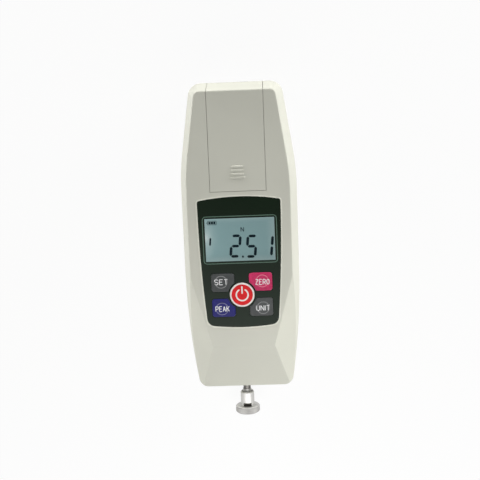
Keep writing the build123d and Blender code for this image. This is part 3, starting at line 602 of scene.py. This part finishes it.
def colour(name, description, code):
    """A colour setting whose default is an sRGB hex code."""
    return bpy.props.FloatVectorProperty(name=name, description=description, default=linear(code),
                                         subtype="COLOR", size=3, min=0.0, max=1.0)


class GaugeFinishSettings(bpy.types.PropertyGroup):
    """Colours of the case, the fascia, the display and the keys."""

    case: colour("Case", "Moulded case and battery door", "D2D2C5")
    fascia: colour("Fascia", "Printed film round the display and the keys", "0C1F0E")
    display: colour("Display", "Display glass behind the digits", "86A6A8")
    # Also the colour of the painted light along the display's edges.
    display_lamp_and_edge_light: colour("Display lamp", "Glow of the lamp at the display's left edge", "E4F0EE")
    power: colour("Power key", "Power key", "E00A12")
    set: colour("Set key", "Set key", "424545")
    zero: colour("Zero key", "Zero key", "CC2A62")
    peak: colour("Peak key", "Peak key", "0C0C68")
    unit: colour("Unit key", "Unit key", "484A4A")


class GaugePrintSettings(bpy.types.PropertyGroup):
    """Sizes and colours of everything printed or displayed."""

    view_width: length("View width", "Visible width of the display", 45.0)
    view_height: length("View height", "Visible height of the display", 28.2)
    fascia_foot: length("Fascia foot", "Width of the fascia at its lower corners", 46.2)
    arch: length("Fascia arch", "Rise of the fascia's upper end", 2.4)
    sag: length("Fascia sag", "Drop of the fascia's lower end", 1.8)
    side_bow: length("Side bow", "Outward bow of the fascia's sides", 0.95)
    side_bulge: length("Side bulge", "How far the sides reach out past the upper corners", 0.15)
    top_corner: length("Top corner", "Corner radius of the fascia's upper end", 1.4)
    foot_corner: length("Foot corner", "Corner radius of the fascia's lower end", 4.4)
    # The lip is drawn paler than the case: a painted highlight along its rounded top.
    lip_width: length("Lip width", "Width of the polished lip round the fascia", 0.8)
    lip_height: length("Lip height", "Height of the polished lip round the fascia", 0.12)
    lip_painted_highlight: number("Lip tone", "How much paler the lip is than the case", 1.2, 0.5, 2.0)
    border_gap: length("Border gap", "From the visible display to the middle of its border", 1.35)
    border_width: length("Border width", "Width of the border line", 0.6)
    border_corner: length("Border corner", "Corner radius of the border line", 2.2)
    digit_height: length("Digit height", "Height of a digit between its stroke middles", 13.5)
    digit_width: length("Digit width", "Width of a digit between its stroke middles", 5.5)
    digit_weight: length("Digit weight", "Stroke width of a digit", 1.75)
    digit_slant: number("Digit slant", "Sideways lean of a digit for each unit of height",
                        0.1, 0.0, 0.5)
    legend_height: length("Legend height", "Height of the key legends", 3.9)
    legend_weight: length("Legend weight", "Stroke width of the legends and the unit sign", 0.5)
    ring_inner: length("Ring inner radius", "Inner radius of the power key's ring", 6.95)
    ring_outer: length("Ring outer radius", "Outer radius of the power key's ring", 8.0)
    dome_x: length("Dome place", "Sideways place of the four domes", 13.4)
    dome_rise: length("Dome rise", "From the power key's middle to a row of domes", 8.95)
    dome_radius: length("Dome radius", "Radius of the dome on a key", 4.2)
    dome_round: length("Dome rounding", "Rounding of the dome's edge", 0.28)
    bead_width: length("Bead width", "Width of the bead round a dome", 0.55)
    bead_height: length("Bead height", "Height of the bead round a dome", 0.1)
    # The bead is drawn paler than its key: a painted highlight round the dome.
    bead_wear: number("Bead wear", "How much paler the burnished bead is than its key",
                      0.17, 0.0, 1.0)
    symbol_radius: length("Symbol radius", "Radius of the power symbol's arc", 3.85)
    symbol_weight: length("Symbol weight", "Stroke width of the power symbol", 1.0)
    digits: colour("Digits", "Dark segments of the display", "0E2430")
    faint: colour("Unit sign", "Paler segments of the display", "46565F")
    border: colour("Border", "Border line round the display", "4A6456")
    legends: colour("Legends", "Key legends", "F2F2F2")
    symbol: colour("Symbol", "Power symbol and its ring", "F6EEEA")


class GaugeMetalSettings(bpy.types.PropertyGroup):
    """Sizes of the threaded shaft and the push head."""

    pitch: length("Thread pitch", "Distance between two turns of the M6 thread", 1.0, 0.1)
    end_chamfer: length("End chamfer", "Chamfer at both ends of the thread", 0.5)
    relief_start: length("Relief start", "From the head's neck to the undercut of the shaft", 1.9)
    relief_length: length("Relief length", "Length of the undercut of the shaft", 2.6)
    relief_depth: length("Relief depth", "Depth of the undercut of the shaft", 0.5)
    countersink: length("Countersink", "Widening of the head's bore at its mouth", 0.95)
    knurl_depth: length("Knurl depth", "Depth of the grooves round the head's rim", 0.2)
    knurl_grooves: bpy.props.IntProperty(name="Knurl grooves", default=72, min=12, max=200,
                                         description="Grooves round the head's rim")
    neck_radius: length("Neck radius", "Radius of the head's neck", 4.65)
    neck_chamfer: length("Neck chamfer", "Chamfer at the top of the neck", 0.7)
    disc_height: length("Disc height", "Thickness of the head's disc", 5.2)
    disc_edge: length("Disc edge", "Width of the bevels at the disc's rim", 1.0)
    flats: length("Spanner flats", "Distance across the two flats of the neck", 7.5)
    flat_length: length("Flat length", "Length of the flats along the neck", 2.0)
    plate: colour("Head plate", "Satin chrome plate of the push head", "CAC9C6")
    # The dark tone painted as shade in the countersink, on the flats, in the knurl and along the thread.
    bare: colour("Head steel", "Steel that shows in the knurl and on the flats", "4A4743")


class GaugeStageSettings(bpy.types.PropertyGroup):
    """Camera, lamps, floor and background."""

    distance: length("Distance", "From the camera to what it points at", 620)
    aim: length("Aim", "From the stand holes to the point that the camera points at", 1.85)
    azimuth: angle("Azimuth", "Camera's turn to the right", 2.0)
    elevation: angle("Elevation", "Camera's lean to the battery end", 10.0)
    roll: angle("Roll", "Camera's turn about its own view", 2.3)
    lens: number("Lens", "Focal length in millimetres", 72.09, 10.0, 300.0)
    floor: colour("Floor", "Pale floor under the gauge", "F2F2F0")
    floor_reach: length("Floor reach", "From the middle of the floor to its sides", 3000)
    lamp_scale: number("Lamp power", "Factor on the power of all lamps", 1.0, 0.0, 10.0)


# ---- operators -------------------------------------------------------------------------
def give(material, *nodes):
    """Puts a material on solids that keep their own shape."""
    for node in nodes:
        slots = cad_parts[node].data.materials
        slots.clear()
        slots.append(material)


def middle_of(node):
    """Middle of a solid's box."""
    low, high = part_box(node)
    return (low + high) / 2


class GAUGE_OT_finish(bpy.types.Operator):
    """Give every solid that keeps its own shape the finish of its real material"""

    bl_idname = "gauge.finish"
    bl_label = "Finish Solids"

    def execute(self, context):
        tone = context.scene.gauge_finish
        marks = context.scene.gauge_print
        give(spark_eroded_abs(tone.case), "front_housing", "rear_housing", "battery_door")
        give(hard_coated_film(tone.fascia), "fascia_panel")
        give(cast_acrylic(), "display_window")
        give(display_glass(tone.display, tone.display_lamp_and_edge_light, marks.view_width / 2,
                           marks.view_height / 2, middle_of("display_window").y), "lcd_glass")
        for key in KEYS:
            give(silicone_rubber(key, getattr(tone, key)), "key_" + key)
        give(moulded_plastic("Moulded acetal", "E4E2DA", 0.35, 1.48),
             *["plunger_" + key for key in KEYS])
        give(moulded_plastic("Moulded nylon", "1E1E1E", 0.5, 1.53), "tact_switches")
        give(moulded_plastic("Moulded polypropylene", "1A1B1D", 0.5, 1.49), "battery_holder")
        give(moulded_plastic("Epoxy moulding compound", "161618", 0.6, 1.55), "board_chips")
        give(moulded_plastic("White light guide", "EDEDE8", 0.25, 1.49), "lcd_backlight")
        give(layered_rubber(), "lcd_connectors")
        give(solder_mask(), "main_board")
        give(gauge_foil(), "strain_gauges")
        give(worked_metal("Zinc-plated steel", "C4C8CC", 0.3, 0.5 * MM),
             "housing_screws", "board_screws", "plate_screws", "anchor_screws", "stop_screws",
             "load_cell_bolt")
        give(worked_metal("Turned stainless steel", "C6C5C1", 0.25, 0.3 * MM, (0.05, 1, 0.05)),
             "shaft_ring", "shaft_lock_nut", "overload_collar")
        give(worked_metal("Milled stainless steel", "BEBDB9", 0.32, 0.4 * MM, (1, 0.05, 1)),
             "overload_stop")
        give(worked_metal("Milled aluminium", "CFD0D1", 0.35, 0.5 * MM, (1, 0.04, 1)),
             "mounting_plate", "anchor_block")
        give(worked_metal("Clear-anodised aluminium", "C5CBD0", 0.42, 0.25 * MM), "load_cell")
        give(worked_metal("Turned brass", "D8B36A", 0.25, 0.3 * MM, (0.05, 0.05, 1)),
             "stand_inserts")
        give(worked_metal("Nickel-plated strip", "CFCBC0", 0.22, 0.6 * MM),
             "battery_contacts", "battery_springs")
        return {"FINISHED"}


class GAUGE_OT_display(bpy.types.Operator):
    """Make the digits and signs of the display, its border line and the lip round the fascia"""

    bl_idname = "gauge.display"
    bl_label = "Make Display Marks"

    def execute(self, context):
        size = context.scene.gauge_print
        middle = np.array([0.0, middle_of("lcd_glass").y])
        on_glass = level(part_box("lcd_glass")[1].z + INK)
        cell = (size.digit_width, size.digit_height, size.digit_weight, size.digit_slant, on_glass)
        dark = []
        for number_shown, place in DIGIT_PLACES.items():
            dark += digit(number_shown, middle + mm(*place), *cell)
        dark.append(stroke(middle + mm(*POINT_ENDS), 1.5 * MM, on_glass))
        dark.append(stroke(middle + mm(*SMALL_ONE_ENDS), 1.15 * MM, on_glass, ends="pointed"))
        dark += self.battery_sign(middle + mm(*BATTERY_SIGN), on_glass)
        piece("display_digits", dark, liquid_crystal("segment", size.digits), "case")
        sign = word("N", middle + mm(*UNIT_SIGN), *mm(*UNIT_SIGN_SIZE), size.legend_weight, on_glass)
        piece("display_unit_sign", sign, liquid_crystal("faint segment", size.faint), "case")
        # A paler copy of the case's finish: the lip's painted highlight.
        piece("fascia_lip", [self.lip(size)],
              spark_eroded_abs(shade(context.scene.gauge_finish.case, size.lip_painted_highlight)), "case")
        edges = [rounded_rectangle(size.view_width + 2 * size.border_gap + grow,
                                   size.view_height + 2 * size.border_gap + grow,
                                   size.border_corner + grow / 2, middle)
                 for grow in (-size.border_width, size.border_width)]
        border = band(edges, level(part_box("fascia_panel")[1].z), closed=True)
        piece("display_border", [border], screen_ink("border", size.border), "case")
        return {"FINISHED"}

    def battery_sign(self, centre, on_glass):
        """A battery lying on its side: three bars, a nub at the left and an outline round the bars."""
        bars = [(across * MM, 0.8 * MM, 1.35 * MM) for across in (-1.6, 0.0, 1.6)]
        nub = (-3.15 * MM, 0.5 * MM, 0.5 * MM)
        strokes = [stroke([centre + (across, -half), centre + (across, half)], weight, on_glass,
                          ends="square") for across, half, weight in (*bars, nub)]
        width, height = mm(*BATTERY_SIGN_SIZE)
        edges = [rounded_rectangle(width + grow, height + grow, 0.4 * MM + grow / 2, centre)
                 for grow in (-0.25 * MM, 0.25 * MM)]
        return strokes + [band(edges, on_glass, closed=True)]

    def lip(self, size):
        """Rounded lip round the fascia: a half ellipse carried along its outline, closed below."""
        half = size.lip_width / 2
        turn = np.linspace(0, math.pi, 7)
        rings = [bowed_outline(size, half + half * reach) for reach in np.cos(turn)]
        foot = -2 * size.lip_height
        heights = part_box("front_housing")[1].z + np.array([foot, *size.lip_height * np.sin(turn), foot])
        rows = np.stack([np.column_stack([ring, np.full(len(ring), height)])
                         for ring, height in zip([rings[0], *rings, rings[-1]], heights)], 1)
        return sheet_of(rows, close_rows=True, close_columns=True)


class GAUGE_OT_legends(bpy.types.Operator):
    """Print the key legends, the power symbol and the ring round the power key"""

    bl_idname = "gauge.legends"
    bl_label = "Print Legends"

    def execute(self, context):
        size = context.scene.gauge_print
        white = screen_ink("legend", size.legends)
        cream = screen_ink("symbol", size.symbol)
        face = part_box("key_power")[1].z
        dome_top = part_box("key_set")[1].z
        power = middle_of("key_power")
        half_bead = size.bead_width / 2
        bead_radius = size.dome_radius - half_bead
        for key, (text, place, width) in KEY_WORDS.items():
            place = mm(*place) + (0.0, power.y)
            dome = np.array([math.copysign(size.dome_x, place[0]),
                             power.y + math.copysign(size.dome_rise, place[1] - power.y)])

            def on_key(x, y):
                """Key face with a low dome: its edge is a quarter circle, and its bead a half ellipse."""
                radius = np.hypot(x - dome[0], y - dome[1])
                out = np.clip((radius - size.dome_radius) / size.dome_round + 1, 0, 1)
                across = np.clip((radius - bead_radius) / half_bead, -1, 1)
                return np.maximum(face + (dome_top - face) * np.sqrt(1 - out ** 2),
                                  np.where(np.abs(across) < 1, dome_top, face)
                                  + size.bead_height * np.sqrt(1 - across ** 2))

            ink = word(text, place, width * MM, size.legend_height, size.legend_weight, on_key)
            piece("legend_" + key, ink, white, key + "_key")
            turn = np.linspace(0, math.pi, 7)
            bead = turned(np.append(bead_radius + half_bead * np.cos(turn), bead_radius),
                          np.append(size.bead_height * np.sin(turn) - INK, -2 * INK),
                          (*dome, dome_top), (0, 0, 1), (1, 0, 0), 64)
            # A paler copy of the key's colour: the bead's painted highlight.
            tone = [c + size.bead_wear for c in getattr(context.scene.gauge_finish, key)]
            piece("dome_bead_" + key, [bead], silicone_rubber(key + " burnished", tone), key + "_key")

        bar = np.array([(0.0, power.y)] * 2) + mm((0.0, 0.7), (0.0, 5.8))
        ink = [stroke(arc((0.0, power.y), size.symbol_radius, size.symbol_radius, 115, 425, 60),
                      size.symbol_weight, level(face)),
               stroke(bar, size.symbol_weight, level(face), lift=2 * LAYER)]
        piece("power_symbol", ink, cream, "power_key")
        inner, outer = size.ring_inner, size.ring_outer
        proud, skirt, wall = mm(0.1, 0.7, 0.3)   # above the key's face, down its side, and across
        profile = rounded_profile([
            (inner, face - proud, 0), (inner, face + proud, 0.08 * MM),
            (outer, face + proud, 0.25 * MM), (outer, face - skirt, 0.02 * MM),
            (outer - wall, face - skirt, 0.02 * MM), (inner, face - proud, 0)])
        ring = turned(profile[:, 0], profile[:, 1], (0.0, power.y, 0.0), (0, 0, 1), (1, 0, 0), 96)
        piece("power_ring", [ring], cream, "power_key")
        return {"FINISHED"}


class GAUGE_OT_shaft(bpy.types.Operator):
    """Cut the M6 thread along the measuring shaft"""

    bl_idname = "gauge.shaft"
    bl_label = "Cut Shaft Thread"

    def execute(self, context):
        size = context.scene.gauge_metal
        low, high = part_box("measuring_shaft")
        crest = (high.x - low.x) / 2
        reach = high.y - low.y
        sides, rows_per_turn = 48, 14
        along = np.linspace(0, reach, int(reach / size.pitch * rows_per_turn))
        turn = np.arange(sides) / sides
        # From 0 on the crest to 1 in the root, and flat at both
        phase = np.abs(2 * ((along[:, None] / size.pitch + turn) % 1) - 1)
        depth = np.clip((phase - CREST_FLAT) / (1 - CREST_FLAT - ROOT_FLAT), 0, 1)
        from_neck = (along - (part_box("flat_head")[1].y - low.y))[:, None]
        relief = (from_neck > size.relief_start) & (from_neck < size.relief_start + size.relief_length)
        radii = np.where(relief, crest - size.relief_depth, crest - THREAD_DEPTH * size.pitch * depth)
        # Painted shade: darkest in the undercut, and darker towards the roots of the thread.
        painted_shade = np.where(relief, 0.9, 0.5 * depth)
        from_end = np.minimum(along, reach - along)[:, None]
        radii = np.minimum(radii, crest - size.end_chamfer + from_end)
        radii = np.vstack([np.zeros(sides), radii, np.zeros(sides)])
        painted_shade = np.vstack([painted_shade[:1], painted_shade, painted_shade[-1:]])
        along = np.concatenate([[0], along, [reach]])
        foot = ((low.x + high.x) / 2, low.y, (low.z + high.z) / 2)
        thread = turned(radii, along, foot, (0, 1, 0), (1, 0, 0), sides, painted_shade)
        steel = metal_with_painted_shade("Rolled stainless thread", size.plate, size.bare, 0.3)
        screw = piece("shaft_thread", [thread], steel, "shaft", 40.0)
        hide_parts("measuring_shaft")
        return {"FINISHED"}


class GAUGE_OT_head(bpy.types.Operator):
    """Turn the push head: countersunk bore, neck with spanner flats, knurled and polished disc"""

    bl_idname = "gauge.head"
    bl_label = "Turn Push Head"

    def execute(self, context):
        size = context.scene.gauge_metal
        low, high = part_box("flat_head")
        shaft_low, shaft_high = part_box("measuring_shaft")
        bore = (shaft_high.x - shaft_low.x) / 2 + 0.05 * MM
        bore_end = shaft_low.y - low.y - 0.5 * MM
        disc, neck = (high.x - low.x) / 2, size.neck_radius
        top, step, edge = high.y - low.y, size.disc_height, size.disc_edge
        flat_end = step + size.flat_length
        profile = rounded_profile([
            (0, bore_end, 0), (bore, bore_end, 0), (bore, top - size.countersink, 0),
            (bore + size.countersink, top, 0.05 * MM), (neck - size.neck_chamfer, top, 0.1 * MM),
            (neck, top - size.neck_chamfer, 0.1 * MM), (neck, flat_end + 0.01 * MM, 0),
            (neck, flat_end, 0), (neck, step, 0.15 * MM),
            (disc - edge, step, 0.4 * MM), (disc, step - 0.9 * edge, 0.3 * MM),
            (disc, 0.9 * edge, 0.3 * MM), (disc - edge, 0, 0.4 * MM), (0, 0, 0)])
        sides = size.knurl_grooves * 6
        turn = np.arange(sides) * 2 * math.pi / sides
        radius, along = profile[:, :1], profile[:, 1:]
        flat = size.flats / 2 / np.maximum(np.abs(np.sin(turn)), 1e-6)
        by_flats = (along >= step) & (along < flat_end + 0.005 * MM)
        by_flats &= (radius > bore + 0.2 * MM) & (radius < neck + 0.2 * MM)
        radii = np.where(by_flats, np.minimum(radius, flat), radius)
        groove = 0.5 - 0.5 * np.cos(size.knurl_grooves * turn)
        rim = np.clip((radius - disc + 0.5 * edge) / (0.4 * edge), 0, 1)
        # Painted shade: full in the bore and its countersunk mouth and on the flats, and over the knurled
        # rim, darkest in its grooves.
        mouth = (along > bore_end + 0.1 * MM) & (radius < bore + 0.7 * size.countersink)
        painted_shade = np.where(mouth | (by_flats & (flat < neck)), 1.0, rim * (0.15 + 0.7 * groove))
        radii = radii - size.knurl_depth * groove * rim
        foot = ((low.x + high.x) / 2, low.y, (low.z + high.z) / 2)
        form = turned(radii, along[:, 0], foot, (0, 1, 0), (1, 0, 0), sides, painted_shade)
        plate = metal_with_painted_shade("Satin chrome plate", size.plate, size.bare, 0.5)
        head = piece("push_head", [form], plate, "head", 25.0)
        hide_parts("flat_head")
        return {"FINISHED"}


class GAUGE_OT_batteries(bpy.types.Operator):
    """Make the four AA batteries with crimped ends and plain sleeves"""

    bl_idname = "gauge.batteries"
    bl_label = "Make Batteries"

    def execute(self, context):
        low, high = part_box("battery_cells")
        gap = 0.2 * MM                            # between two batteries of a layer
        radius = (high.x - low.x - gap) / 4
        body, whole = BATTERY_BODY, BATTERY_BODY + BATTERY_NUB
        # Distance in from the side, distance along and rounding, in millimetres, of each end
        flat_end = [(2.2, 0.3, 0.3), (1.9, 0.0, 0.1), (0.5, 0.0, 0.15), (0.15, 0.35, 0.1),
                    (0.0, 0.6, 0.1)]
        nub_end = [(0.0, -0.7, 0.2), (0.5, 0.0, 0.2), (1.6, 0.0, 0.15), (1.9, -0.35, 0.1)]
        profile = mm((0, 0.3, 0), *((radius / MM - inwards, y, bend) for inwards, y, bend in flat_end),
                     *((radius / MM - inwards, body / MM + y, bend) for inwards, y, bend in nub_end),
                     (2.75, body / MM - 0.35, 0.15), (2.6, whole / MM, 0.3), (0, whole / MM, 0))
        profile = rounded_profile(profile)
        step = np.linalg.norm(np.diff(profile, axis=0), axis=1)
        marks = np.concatenate([[0], np.cumsum(step)]) / step.sum()
        cells = []
        for z, layer in ((low.z + radius, 1), (high.z - radius, -1)):
            for side in (-1, 1):
                way = side * layer
                foot = (side * (radius + gap / 2), high.y - whole if way > 0 else low.y + whole, z)
                cells.append(turned(profile[:, 0], profile[:, 1], foot, (0, way, 0), (1, 0, 0), 64, marks))
        set_of_four = piece("battery_set", cells, battery_sleeve(), "case", 35.0)
        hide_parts("battery_cells")
        return {"FINISHED"}


def add_lamp(name, place, aim, size, power):
    """Area lamp that points from a place to an aim."""
    light = bpy.data.lights.new(name, "AREA")
    light.shape = "RECTANGLE"
    light.size, light.size_y = size
    light.energy = power
    lamp = bpy.data.objects.new(name, light)
    bpy.context.scene.collection.objects.link(lamp)
    look = (Vector(aim) - Vector(place)).to_track_quat("-Z", "Y")
    lamp.matrix_world = Matrix.Translation(Vector(place)) @ look.to_matrix().to_4x4()


def rays_that_show(node, *kinds):
    """1 for the camera's rays and for rays of these kinds, and 0 for the rays that light the gauge."""
    path = node("LightPath")
    share = path["Is Camera Ray"]
    for kind in kinds:
        share = node("Math", {0: share, 1: path[kind]}, operation="MAXIMUM")[0]
    return share


def studio_world():
    """World of a white tent with a dark opening overhead: shown white, and lighting less than the lamps."""
    world = bpy.data.worlds.new("studio")
    world.use_nodes = True
    world.node_tree.nodes.clear()
    node = functools.partial(add, world.node_tree)
    rise = node("SeparateXYZ", Vector=node("TexCoord")["Generated"])["Z"]
    seen = node("ValToRGB", Fac=rise, stops=[
        (0.0, (1.0,) * 3), (0.966, (1.0,) * 3), (0.987, (0.12,) * 3)])["Color"]
    direct = rays_that_show(node, "Is Glossy Ray", "Is Transmission Ray")
    lighting = node("Background", Color=(1.0,) * 3, Strength=0.15)[0]
    shown = node("Background", Color=seen, Strength=1.0)[0]
    node("OutputWorld", Surface=node("MixShader", {0: direct, 1: lighting, 2: shown})[0])
    return world


def backdrop_paper(tone):
    """Matt white backdrop paper: shown almost white, also in reflections, and darker in a shadow."""
    def surface(node, at):
        fibre = node("TexNoise", Vector=at, Scale=per(2 * MM))["Fac"]
        relief = node("Bump", Height=fibre, Distance=0.05 * MM, Strength=0.2)[0]
        matt = node("BsdfPrincipled", Base_Color=tone, Roughness=0.9, Normal=relief)[0]
        glow = node("Emission", Color=(1.0,) * 3, Strength=1.0)[0]
        direct = rays_that_show(node, "Is Glossy Ray")
        share = node("Math", {0: direct, 1: 0.92}, operation="MULTIPLY")[0]
        return node("MixShader", {0: share, 1: matt, 2: glow})[0]
    return new_material("Backdrop paper", surface)


class GAUGE_OT_stage(bpy.types.Operator):
    """Set up the camera, the lamps, the floor and the background"""

    bl_idname = "gauge.stage"
    bl_label = "Set Up Stage"

    def execute(self, context):
        scene = context.scene
        size = scene.gauge_stage
        scene.view_settings.view_transform = "Standard"
        turn, lean, roll = size.azimuth, size.elevation, size.roll
        back = Vector((math.sin(turn) * math.cos(lean), math.sin(lean), math.cos(turn) * math.cos(lean)))
        right = Vector((math.cos(turn), 0, -math.sin(turn)))
        up = back.cross(right)
        right, up = (right * math.cos(roll) - up * math.sin(roll),
                     right * math.sin(roll) + up * math.cos(roll))
        middle = Vector((0.0, size.aim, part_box("front_housing")[1].z))
        camera = bpy.data.objects.new("camera", bpy.data.cameras.new("camera"))
        scene.collection.objects.link(camera)
        camera.data.lens = size.lens
        camera.data.sensor_width = 36.0
        camera.matrix_world = Matrix.Translation(middle + back * size.distance) @ Matrix(
            (right, up, back)).transposed().to_4x4()
        scene.camera = camera

        scene.world = studio_world()
        for name, (place, aim, shape, power) in LAMPS.items():
            add_lamp(name, place, aim or middle, shape, power * size.lamp_scale)

        side = np.linspace(-size.floor_reach, size.floor_reach, 9)
        x, y = np.meshgrid(side, side, indexing="ij")
        under = CAD_BOX[0][2] - 0.05 * MM         # clear of the rear face, so that the two don't flicker
        points, quads, marks = sheet_of(np.stack([x, y, np.full_like(x, under)], -1)[:, ::-1])
        mesh = bpy.data.meshes.new("floor")
        mesh.from_pydata(points.tolist(), [], quads.tolist())
        mesh.materials.append(backdrop_paper(size.floor))
        floor = bpy.data.objects.new("floor", mesh)
        scene.collection.objects.link(floor)
        return {"FINISHED"}


class GAUGE_PT_panel(bpy.types.Panel):
    """Sidebar panel that lists the steps of the build"""

    bl_label = "Force Gauge"
    bl_idname = "GAUGE_PT_panel"
    bl_space_type = "VIEW_3D"
    bl_region_type = "UI"
    bl_category = "Gauge"

    def draw(self, context):
        for step in OPERATORS:
            self.layout.operator(step.bl_idname)


SETTINGS = {"gauge_finish": GaugeFinishSettings, "gauge_print": GaugePrintSettings,
            "gauge_metal": GaugeMetalSettings, "gauge_stage": GaugeStageSettings}
OPERATORS = (GAUGE_OT_finish, GAUGE_OT_display, GAUGE_OT_legends, GAUGE_OT_shaft, GAUGE_OT_head,
             GAUGE_OT_batteries, GAUGE_OT_stage)


def register():
    """Registers the settings, the operators and the panel."""
    for name, group in SETTINGS.items():
        bpy.utils.register_class(group)
        setattr(bpy.types.Scene, name, bpy.props.PointerProperty(type=group))
    for item in (*OPERATORS, GAUGE_PT_panel):
        bpy.utils.register_class(item)


def unregister():
    """Takes everything off again, in reverse order."""
    for item in (GAUGE_PT_panel, *reversed(OPERATORS)):
        bpy.utils.unregister_class(item)
    for name, group in reversed(SETTINGS.items()):
        delattr(bpy.types.Scene, name)
        bpy.utils.unregister_class(group)


def main():
    """Builds the looks in order."""
    register()
    bpy.ops.gauge.finish()
    bpy.ops.gauge.display()
    bpy.ops.gauge.legends()
    bpy.ops.gauge.shaft()
    bpy.ops.gauge.head()
    bpy.ops.gauge.batteries()
    bpy.ops.gauge.stage()


if __name__ == "__main__":
    main()
